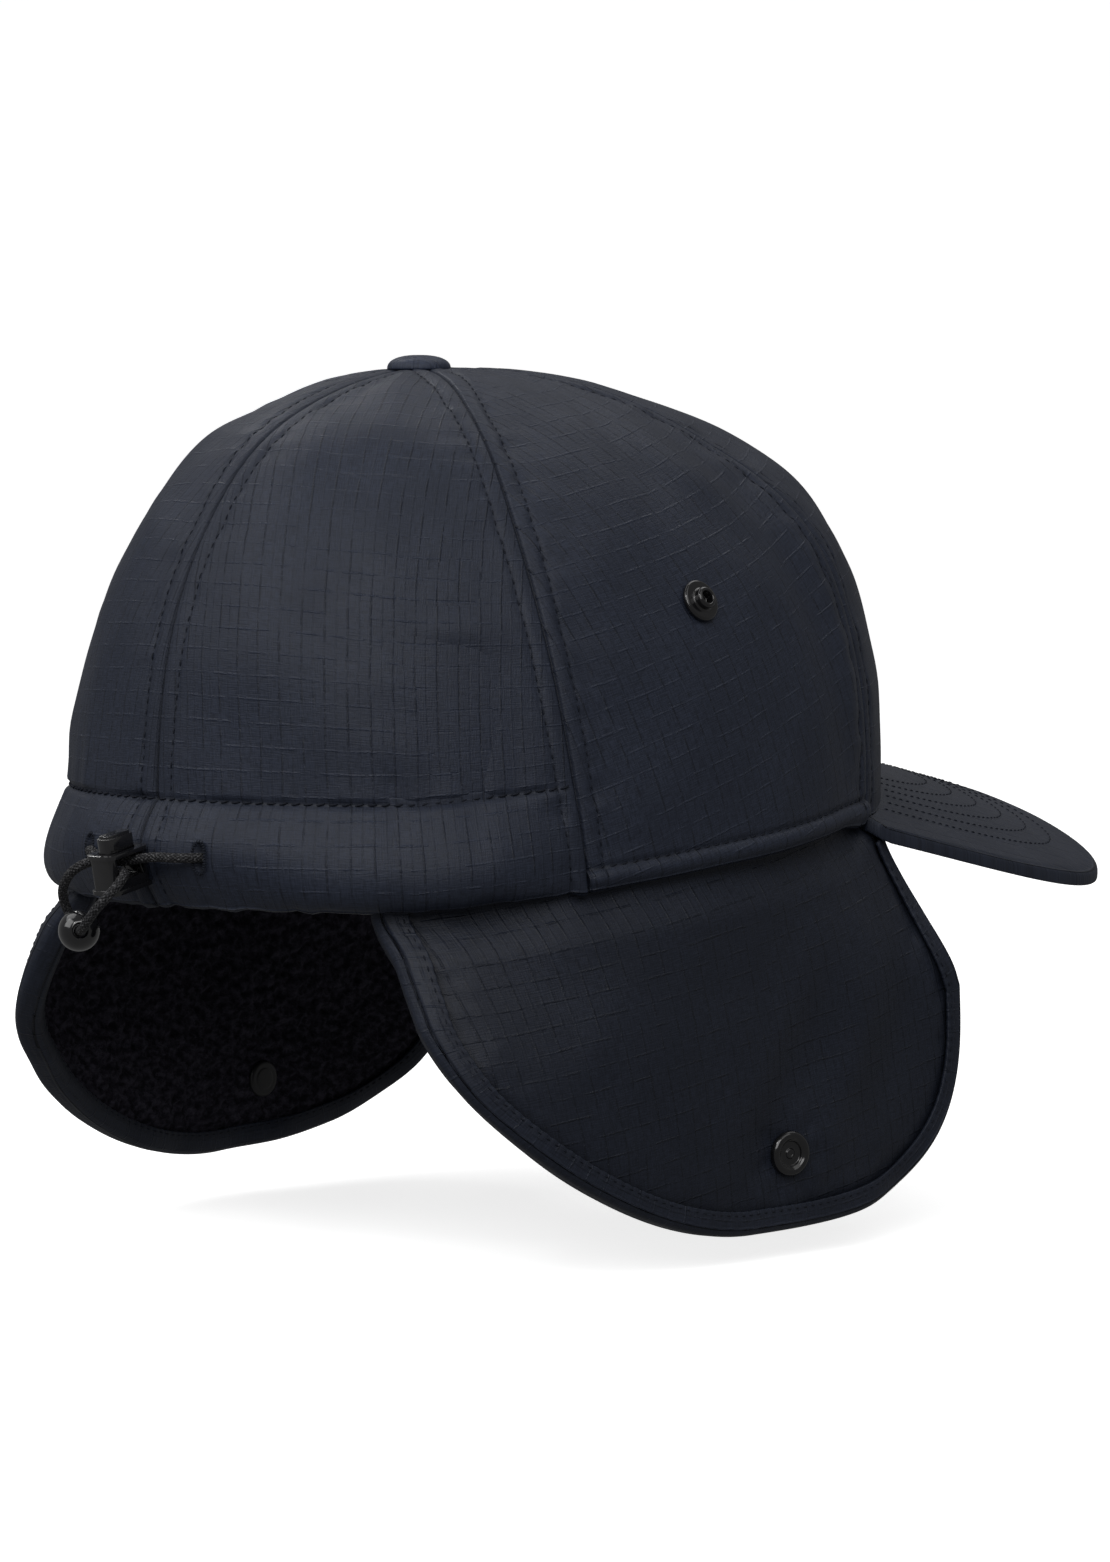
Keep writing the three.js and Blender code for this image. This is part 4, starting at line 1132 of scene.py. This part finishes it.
# The sewn top, tucked up behind the hem; at the front it drops to the corner of the peak
def flapTop(share):
    y = lerp(flap["rearTop"], flap["frontTop"], share)
    corner = np.clip((y - flap["cornerFrom"]) / (flap["cornerTo"] - flap["cornerFrom"]), 0, 1)
    return y, lerp(flapHem(y) + flap["tuck"], flap["frontTopLevel"], corner)


# A quarter superellipse on each side of the lowest point
def flapEdge(share):
    angle = (share - 0.5) * math.pi
    power = np.where(angle < 0, flap["rearPower"], flap["frontPower"])
    ray = superRay(angle, power)
    y = flap["middle"] - flap["halfLength"] * ray * np.sin(angle)
    return y, flap["wideLevel"] - flap["drop"] * ray * np.cos(angle)


# The whole free edge: straight sides down from the top, joined by the round edge
def sewnEdge(share):
    share = np.asarray(share, float)
    sideShare = flap["sideShare"]
    nearRear = share < 0.5
    topY, topZ = flapTop(np.where(nearRear, 0.0, 1.0))
    lowY, lowZ = flapEdge(np.where(nearRear, 0.0, 1.0))
    s = np.clip(np.minimum(share, 1 - share) / sideShare, 0, 1)
    roundY, roundZ = flapEdge(np.clip((share - sideShare) / (1 - 2 * sideShare), 0, 1))
    onSide = (share < sideShare) | (share > 1 - sideShare)
    return np.where(onSide, lerp(topY, lowY, s), roundY), np.where(onSide, lerp(topZ, lowZ, s), roundZ)


# A place some distance in from the free edge, square to it
def inward(share, distance, step=0.01):
    ay, az = sewnEdge(np.maximum(share - step, 0))
    by, bz = sewnEdge(np.minimum(share + step, 1))
    length = np.hypot(by - ay, bz - az)
    y, z = sewnEdge(share)
    return y + distance * (bz - az) / length, z - distance * (by - ay) / length


# Columns run from the sewn top to the free edge and keep the binding's room to it
def flapPlaces(grid):
    column, row = np.meshgrid(
        np.linspace(0, 1, grid["columns"] + 1), np.linspace(0, 1, grid["rows"] + 1), indexing="ij",
    )
    room = layer["tape"] + layer["tapeGap"]
    lowY, lowZ = inward(lerp(flap["sideShare"], 1 - flap["sideShare"], column), room)
    highY, highZ = flapTop(column)
    return lerp(highY + room * (2 * column - 1), lowY, row), lerp(highZ, lowZ, row)


# Distance in millimetres from the free edge, by the nearest of many edge points
def edgeDistance(y, z, points=241):
    best = np.full(y.shape, np.inf)
    for edgeY, edgeZ in zip(*sewnEdge(np.linspace(0, 1, points))):
        best = np.minimum(best, np.hypot(y - edgeY, z - edgeZ))
    return best


flapSeeds = {-1: 50, 1: 90}
# Shade is painted on the shell along the binding's stitching, by strength, distance in from the edge and
# width
shell = {
    "columns": 124, "rows": 86, "broad": 0.55, "broadSize": (24, 20), "small": 0.25, "smallSize": (8, 10),
    "freeOver": (6, 16), "pull": 0.35, "pullSize": 5, "pullAt": (8, 4), "calmSnap": (5, 12),
    "bindingStep": 0.35, "bindingOver": (5.6, 9), "bindingShade": (0.8, 5.7, 0.8),
    "spokes": 7, "spokeTurn": 0.8, "spokeDepth": 0.35, "spokeAt": (9, 4),
    "snapDent": 0.3, "snapDentOver": 6.5,
}
fleece = {
    "columns": 172, "rows": 114, "curl": 0.8, "curlSize": (2.5, 2.0), "fine": 0.4, "fineSize": 1.2,
    "wobble": 1.2, "wobbleSize": 3, "base": 0.5, "freeOver": (5.4, 8),
}


# Rise of the outer cloth: soft waves, pulls along the binding, a step up from it, and puckers round the snap
def shellRise(sign, y, z):
    seed, edge, away = flapSeeds[sign], edgeDistance(y, z), fromSnap(y, z)
    soft = shell["broad"] * noise(y / shell["broadSize"][0], z / shell["broadSize"][1], seed)
    soft += shell["small"] * noise(y / shell["smallSize"][0], z / shell["smallSize"][1], seed + 1)
    pulls = noise((y - z) / shell["pullSize"], (y + z) / shell["pullSize"], seed + 2)
    pulls = shell["pull"] * pulls * bell(edge, *shell["pullAt"])
    rise = (soft * smoothStep(edge, *shell["freeOver"]) + pulls) * smoothStep(away, *shell["calmSnap"])
    turn = np.arctan2(z - snap["socketLevel"], y - snap["socketY"])
    spokes = np.sin(shell["spokes"] * turn + shell["spokeTurn"])
    rise += shell["bindingStep"] * smoothStep(edge, *shell["bindingOver"])
    rise += shell["spokeDepth"] * spokes * bell(away, *shell["spokeAt"])
    return rise - shell["snapDent"] * bell(away, 0, shell["snapDentOver"])


# Depth of the fleece: curls are 1 - 2 |noise| of a wobbled place, with finer noise on them
def fleecePile(sign, y, z):
    seed, size = flapSeeds[sign], fleece["wobbleSize"]
    wobbleY = y + fleece["wobble"] * noise(y / size, z / size, seed + 5)
    wobbleZ = z + fleece["wobble"] * noise(y / size, z / size, seed + 6)
    across, down = fleece["curlSize"]
    curls = 1 - 2 * np.abs(noise(wobbleY / across, wobbleZ / down, seed + 7))
    fine = noise(y / fleece["fineSize"], z / fleece["fineSize"], seed + 8)
    free = smoothStep(edgeDistance(y, z), *fleece["freeOver"])
    return (fleece["curl"] * curls + fleece["fine"] * fine + fleece["base"]) * free


def shellPiece(side):
    sign = sides[side]
    y, z = flapPlaces(shell)
    outer = flapPoint(sign, y, z, layer["shellOut"] + shellRise(sign, y, z))
    inner = flapPoint(sign, y, z, layer["shellIn"] + 0 * y)
    # painted shade along the binding's stitching
    depth, at, width = shell["bindingShade"]
    creaseShade = depth * bell(edgeDistance(y, z), at, width)
    uv = turnedPlace(y, z, flap["grain"])
    piece = sheet(f"flap_shell_{side}_cloth", outer, inner, uv, creaseShade, bulge=(0, 0, 0, 0), rimSteps=2)
    return finish(piece, "ripstopFlapShaded", "ripstop", f"flap_shell_{side}")


def liningPiece(side):
    sign = sides[side]
    y, z = flapPlaces(fleece)
    lining = flapPoint(sign, y, z, layer["liningIn"] - fleecePile(sign, y, z))
    backing = flapPoint(sign, y, z, layer["liningOut"] + 0 * y)
    uv = np.stack([y, z], -1)
    piece = sheet(f"flap_lining_{side}_fleece", backing, lining, uv, bulge=(0, 0, 0, 0), rimSteps=2)
    return finish(piece, "fleece", "fleece", f"flap_lining_{side}")


# Binding: a folded tape round the free edge. Its section is a rounded U, puffed between edge and stitching
binding = {
    "stations": 420, "puff": 0.42, "pucker": 0.1, "pitch": 2.6, "puckerOver": (3.2, 5.4), "puckerIn": 0.6,
    "stitchIn": 0.9, "proud": 0.12, "creaseShade": (0.5, 0.45), "lean": 0.4,
    "lip": 0.25, "fold": 1.9, "insideFold": 1.0, "cornerSteps": 6,
    "armShares": (0.2, 0.4, 0.6, 0.8), "armEnd": 0.5,
}
outLevel = layer["shellOut"] + layer["tapeGap"] + layer["tape"]
inLevel = layer["liningIn"] - layer["backGap"] - layer["tape"]
middleLevel = -0.65  # a level in the cloth, between the two arms


# (distance in from the edge, level) round the U: its corners are rounded and its long arms divided
def bindingSection():
    width, thick = layer["tapeWidth"], layer["tape"]
    corners = np.array([
        (width, outLevel - thick), (width, outLevel), (0, outLevel), (0, inLevel), (width, inLevel),
        (width, inLevel + thick), (thick, inLevel + thick), (thick, outLevel - thick),
        (width, outLevel - thick),
    ])
    lip, fold, insideFold = binding["lip"], binding["fold"], binding["insideFold"]
    radii = (lip, fold, fold, lip, lip, insideFold, insideFold)
    points = []
    for before, corner, after, radius in zip(corners[:-2], corners[1:-1], corners[2:], radii):
        points.extend(roundedProfile([before, corner, after], radius, binding["cornerSteps"])[1:-1])
        if np.linalg.norm(after - corner) > width - 2 * thick - binding["armEnd"]:
            far, armEnd = points[-1], after + unit(corner - after) * binding["armEnd"]
            points.extend(lerp(far, armEnd, s) for s in binding["armShares"])
    points.append(corners[0])
    return np.array(points)


# The section carried along the free edge, with puff * sin(pi * share across), puckers along the stitching and
# shade painted along it
def bindingPiece(side):
    section = bindingSection()
    share = np.linspace(0, 1, binding["stations"] + 1)
    along = lengthAlong(np.stack(sewnEdge(share), -1))[:, None]
    d, offset = section[:, 0][None], section[:, 1][None]
    face = np.sign(offset - middleLevel)
    puff = binding["puff"] * np.sin(np.pi * np.clip(d / layer["tapeWidth"], 0, 1)) * face
    pucker = binding["pucker"] * np.sin(tau * along / binding["pitch"])
    pucker = pucker * smoothStep(d, *binding["puckerOver"])
    y, z = inward(share[:, None] + 0 * pucker, d + pucker * binding["puckerIn"])
    flat = flapPoint(sides[side], y, z, offset + puff + pucker * face).reshape(-1, 3)
    uv = np.stack(np.broadcast_arrays(d + offset * binding["lean"], along), -1)
    count = len(section)
    # each end is closed by a strip of quads between the two arms of the section
    cap = np.array([[k, k + 1, count - 2 - k, count - 1 - k] for k in range(count // 2 - 1)])
    faces = gridFaces(len(share), count, closeColumns=True)
    faces = np.concatenate([faces, cap, cap[:, ::-1] + (len(share) - 1) * count])
    # painted shade in the groove of the stitching
    depth, reach = binding["creaseShade"]
    creaseShade = depth * bell(d + 0 * along, layer["tapeWidth"] - binding["stitchIn"], reach)
    name = f"flap_binding_{side}_tape"
    piece = newMesh(name, flat, facingOut(flat, faces), uv.reshape(-1, 2), creaseShade.ravel())
    return finish(piece, "tape", "tape", f"flap_binding_{side}")


flapParts = {
    side: {"shell": shellPiece(side), "lining": liningPiece(side), "binding": bindingPiece(side)}
    for side in sides
}
print("ear flaps made")

# Snaps: turned forms on the crown and on both faces of each flap. Their profiles are (radius, height) in
# millimetres over the cloth, from the foot of the axis to its top
stack = layer["shellOut"] - layer["liningIn"]
snapProfiles = {
    "stud": [
        (0, -3), (3.8, -3), (3.8, -2.2), (1.6, -2.2), (1.6, 0.1), (5, 0.1), (5, 0.9), (4.6, 1.3), (2.9, 1.3),
        (2.6, 1.6), (2.6, 2.9), (2.2, 3.3), (1.7, 3.3), (1.5, 3.0), (1.5, 1.0), (0.55, 0.9),
        (0.45, 1.2), (0, 1.25),
    ],
    "socket": [
        (0, -stack - 0.5), (1.5, -stack - 0.5), (1.5, 0.1), (5.25, 0.1), (5.25, 1.3), (4.7, 1.9), (3.75, 1.9),
        (3.35, 1.5), (2.95, 1.3), (2.85, 0.7), (1.25, 0.7), (1.1, 1.05), (0.7, 1.15), (0.5, 0.95), (0, 0.95),
    ],
    "cap": [
        (0, 0.5), (1.8, 0.5), (1.8, -0.2), (4.35, -0.2), (4.6, 0.3), (4.4, 0.85), (3.8, 1.1), (2.8, 1.05),
        (2.5, 1.2), (0, 1.3),
    ],
}
snapSeat = {"stud": 0.15, "socket": 0.2, "cap": 0.8}


def snapPiece(form, node, place, axis, material):
    made = turned(f"{node}_metal", roundedProfile(snapProfiles[form], snap["round"]), place, axis)
    return finish(made, material, "snap_metal", node)


for side, sign in sides.items():
    t, h = np.array(math.radians(snap["studAngle"])), np.array(snap["studShare"])
    seat = crownPoint(sign, t, h, snapSeat["stud"])
    snapPiece("stud", f"crown_stud_{side}", seat, crownNormal(sign, t, h), "metal")
    y, z = np.array(snap["socketY"], float), np.array(snap["socketLevel"], float)
    normal = flapFacing(sign, y, z)
    seat = flapPoint(sign, y, z, layer["shellOut"] + snapSeat["socket"])
    flapParts[side]["socket"] = snapPiece("socket", f"flap_socket_{side}", seat, normal, "metal")
    seat = flapPoint(sign, y, z, layer["liningIn"] - snapSeat["cap"])
    flapParts[side]["cap"] = snapPiece("cap", f"flap_socket_cap_{side}", seat, -normal, "backMetal")

# Bead: a ball turned round its hole, with a rounded lip at each end of the hole
bead = {
    "centre": (9.3, 119.8, -5.6), "radius": 4.75, "hole": 1.6, "axis": (-0.78, 0.62, 0.1), "lip": 0.35,
    "steps": 40, "lipSteps": 6,
}
mouth = bead["hole"] + bead["lip"]
reach = math.sqrt(bead["radius"] ** 2 - mouth ** 2)
top = math.atan2(reach, mouth)
beadProfile = [
    [bead["radius"] * math.cos(v), bead["radius"] * math.sin(v)]
    for v in np.linspace(-top, top, bead["steps"])
]
lip = [
    [bead["hole"] + bead["lip"] * (1 - math.sin(v)), reach - bead["lip"] * (1 - math.cos(v))]
    for v in np.linspace(0, math.pi / 2, bead["lipSteps"])
]
beadProfile += lip + [[radius, -height] for radius, height in reversed(lip)]
beadProfile.append(beadProfile[0])
beadPiece = turned("cord_bead_ball", beadProfile, np.array(bead["centre"]), bead["axis"])
finish(beadPiece, "plastic", "plastic", "cord_bead")

# Cord lock: the moulded forms with their edges rounded. Widths in millimetres, angles in degrees
lockEdges = {"body": 0.28, "knob": 0.45, "segments": 3, "sharperThan": 35, "flatWithin": 2}


def roundedCopy(node, width, body):
    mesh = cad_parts[node].data.copy()
    mesh.name = f"{node}_moulding"
    mesh.materials.clear()
    made = bmesh.new()
    made.from_mesh(mesh)
    bmesh.ops.remove_doubles(made, verts=made.verts, dist=weld["moulding"])
    flatWithin = math.radians(lockEdges["flatWithin"])
    bmesh.ops.dissolve_limit(made, angle_limit=flatWithin, verts=made.verts, edges=made.edges)
    made.to_mesh(mesh)
    made.free()
    piece = bpy.data.objects.new(mesh.name, mesh)
    bpy.context.scene.collection.objects.link(piece)
    bevel = piece.modifiers.new("edges", "BEVEL")
    bevel.width = width * metre
    bevel.segments = lockEdges["segments"]
    bevel.limit_method = "ANGLE"
    bevel.angle_limit = math.radians(lockEdges["sharperThan"])
    bevel.harden_normals = True
    mesh.polygons.foreach_set("use_smooth", np.ones(len(mesh.polygons), bool))
    return finish(piece, "plastic", "plastic", node, body=body)


lockBody = roundedCopy("cord_lock_body", lockEdges["body"], "cap")
lockKnob = roundedCopy("cord_lock_plunger", lockEdges["knob"], "plunger")
print("snaps, lock and bead made")

# Stitching
stitch = {"pitch": 2.55, "length": 1.8, "radius": 0.19, "lift": 0.1, "sink": 0.2, "tilt": 0.08, "slant": 0.0}
heavy = {**stitch, "radius": 0.27, "length": 2.1, "pitch": 2.9, "slant": 0.2, "lift": 0.16, "tilt": 0.14}
seamStitch = {"from": 0.012, "to": 0.992, "points": 160, "crowding": 0.9, "leastScale": 9, "proud": 0.02}
levelStitch = {
    "crown_rear": {
        "from": seams["aft"][0] + 2.5, "to": 179.7135, "points": 150,
        "height": casing["height"], "proud": 0.34,
    },
    "crown_side": {
        "from": seams["fore"][0] + 1.2, "to": seams["aft"][0] - 1.0, "points": 120,
        "height": hemRoll["height"], "proud": 0.12,
    },
}


# A run over a panel's relief, a little proud of it
def crownRun(sign, t, h, kind, look, proud):
    offset = panelRelief(kind, sign, t, h, *seamDistances(kind, sign, t, h))[0]
    return crownPoint(sign, t, h, offset + proud), crownNormal(sign, t, h), look


# The run beside a panel's seam: way is 1 for the seam where the panel starts and -1 for the one where it ends
def seamRun(sign, kind, way):
    name = panels[kind][0 if way > 0 else 1]
    h = np.linspace(seamStitch["from"], seamStitch["to"], seamStitch["points"]) ** seamStitch["crowding"]
    t = seamAngle(name, h)
    for _ in range(3):
        scale = np.maximum(roundScale(sign, t, h), seamStitch["leastScale"])
        t = seamAngle(name, h) + way * relief["stitchAt"] / scale
    return crownRun(sign, t, h, kind, stitch, seamStitch["proud"])


# A run along a level line of a panel, from bearing to bearing in degrees
def levelRun(sign, kind, row):
    t = np.radians(np.linspace(row["from"], row["to"], row["points"]))
    return crownRun(sign, t, row["height"] / (crown["height"] - hemHeight(t)), kind, heavy, row["proud"])


crownRuns = []
for sign in sides.values():
    for kind in panels:
        crownRuns += [seamRun(sign, kind, 1), seamRun(sign, kind, -1)]
    crownRuns += [levelRun(sign, kind, row) for kind, row in levelStitch.items()]
stitchPiece("crown_stitching", crownRuns)

# Stitching round each flap, a little in from its free edge, on its outer and its inner face
flapRun = {"from": 0.02, "to": 0.98, "points": 400}
for side, sign in sides.items():
    share = np.linspace(flapRun["from"], flapRun["to"], flapRun["points"])
    y, z = inward(share, layer["tapeWidth"] - binding["stitchIn"])
    facing = flapFacing(sign, y, z)
    outRun = (flapPoint(sign, y, z, outLevel + binding["proud"] + 0 * y), facing, stitch)
    inRun = (flapPoint(sign, y, z, inLevel - binding["proud"] + 0 * y), -facing, stitch)
    seamThreads = stitchPiece(f"flap_stitching_{side}", [outRun, inRun])

# Rows of the peak keep an even distance from its front edge: the edge's superellipse, drawn in by the
# distance and rounder towards the back, as far as it lies outside the crown
peakStitch = {"rows": 6, "first": 9.2, "step": 4.3, "backPower": 3.0, "clear": 1, "points": 400}
peakRuns = []
for k in range(peakStitch["rows"]):
    distance = peakStitch["first"] + peakStitch["step"] * k
    angle = np.linspace(-math.pi / 2, math.pi / 2, peakStitch["points"])
    power = lerp(peak["power"], peakStitch["backPower"], k / peakStitch["rows"])
    ray = superRay(angle, power)
    x = (peak["halfWidth"] - distance) * ray * np.sin(angle)
    y = -peak["rootBack"] - (peak["reach"] - peak["rootBack"] - distance) * ray * np.cos(angle)
    fromMiddle = (np.abs(x) / (crown["halfWidth"] + peakStitch["clear"])) ** crown["planPower"]
    fromMiddle += (-y / (crown["frontReach"] + peakStitch["clear"])) ** crown["planPower"]
    x, y = x[fromMiddle > 1], y[fromMiddle > 1]
    slopeX = peakTop(x + 0.5, y) - peakTop(x - 0.5, y)
    slopeY = peakTop(x, y + 0.5) - peakTop(x, y - 0.5)
    normals = unit(np.stack([-slopeX, -slopeY, 1 + 0 * x], -1))
    path = np.stack([x, y, peakTop(x, y) + seamStitch["proud"] + peakWave(x, y)], -1)
    peakRuns.append((path, normals, stitch))
stitchPiece("peak_stitching", peakRuns)

# Buttonholes: satin stitches laid side by side round each hole in the casing
satin = {"pitch": 0.62, "length": 0.85, "radius": 0.22, "lift": 0.1, "sink": 0.15, "tilt": 0.08, "slant": 8.0}
buttonhole = {"grow": 0.35, "proud": 0.35, "points": 121}
slotAngle = math.pi - math.asin((hole["x"] / crown["halfWidth"]) ** (crown["planPower"] / 2))
for side, sign in sides.items():
    turn = np.linspace(0, tau, buttonhole["points"])
    across = (hole["halfWidth"] + buttonhole["grow"]) * signedPower(np.cos(turn), hole["squareness"])
    up = (hole["halfHeight"] + buttonhole["grow"]) * signedPower(np.sin(turn), hole["squareness"])
    t = slotAngle + across / crown["halfWidth"]
    h = (hole["level"] + up) / crown["height"]
    path = crownPoint(sign, t, h, casingPuff(t, h) + buttonhole["proud"])
    piece = stitchPiece(f"buttonhole_{side}_satin", [(path, crownNormal(sign, t, h), satin)])
    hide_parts(f"buttonhole_{side}")
print("stitching made")

# Studio: a pale floor that sweeps up all round, in metres, and soft lamps all round, strongest in front
studio = {
    "floor": -0.084, "flat": 2.4, "wall": 3.6, "height": 3.4, "around": 96, "bendSteps": 16,
    "tone": 0.82, "glow": 0.78, "sky": 0.17, "lampDistance": 2.0,
}
bend = studio["wall"] - studio["flat"]
sweep = [[0, studio["floor"]]]
for v in np.linspace(-math.pi / 2, 0, studio["bendSteps"]):
    sweep.append([studio["flat"] + bend * math.cos(v), studio["floor"] + bend * (1 + math.sin(v))])
sweep.append([studio["wall"], studio["floor"] + studio["height"]])
radius, height = np.array(sweep).T[..., None]
ring = np.arange(studio["around"]) * tau / studio["around"]
dish = np.stack([radius * np.cos(ring), radius * np.sin(ring), height + 0 * ring], -1).reshape(-1, 3) / metre
floor = newMesh("studio_floor", dish, gridFaces(len(sweep), studio["around"], closeColumns=True, flip=True))
floorGraph = Graph("studio_floor", roughness=0.95, specular=0.0)
floorGraph.feed("Base Color", (studio["tone"], studio["tone"], studio["tone"], 1))
floorGraph.feed("Emission Color", (1, 1, 1, 1))
floorGraph.feed("Emission Strength", studio["glow"])
floor.data.materials.append(floorGraph.material)
floor.visible_diffuse = False
floor.visible_glossy = False


# A square lamp aimed at the cap; bearing is counted from the camera to its right, in degrees
def areaLight(name, bearing, rise, power, size):
    light = bpy.data.lights.new(name, "AREA")
    light.size = size
    light.energy = power
    lamp = bpy.data.objects.new(name, light)
    turn, lift = math.radians(bearing), math.radians(rise)
    way = (viewSide * math.cos(turn) + imageRight * math.sin(turn)) * math.cos(lift)
    way += Vector((0, 0, math.sin(lift)))
    lamp.location = way * studio["lampDistance"]
    lamp.rotation_euler = way.to_track_quat("Z", "Y").to_euler()
    bpy.context.scene.collection.objects.link(lamp)


# name: bearing, rise, power in watts, size in metres
lamps = {
    "left": (-70, 35, 10.5, 1.3), "front": (-5, 35, 16, 1.3), "right": (50, 50, 4.4, 1.3),
    "backRight": (150, 60, 6.4, 1.3), "backLeft": (-115, 55, 5.5, 1.3), "glint": (-32, 44, 2.2, 0.22),
    "rim": (-158, 42, 2.6, 0.3),
}
for name, settings in lamps.items():
    areaLight(name, *settings)
world = bpy.data.worlds.new("studio")
world.use_nodes = True
background = world.node_tree.nodes["Background"]
background.inputs["Color"].default_value = (1, 1, 1, 1)
background.inputs["Strength"].default_value = studio["sky"]
bpy.context.scene.world = world
bpy.context.scene.view_settings.view_transform = "Standard"

print("scene ready")
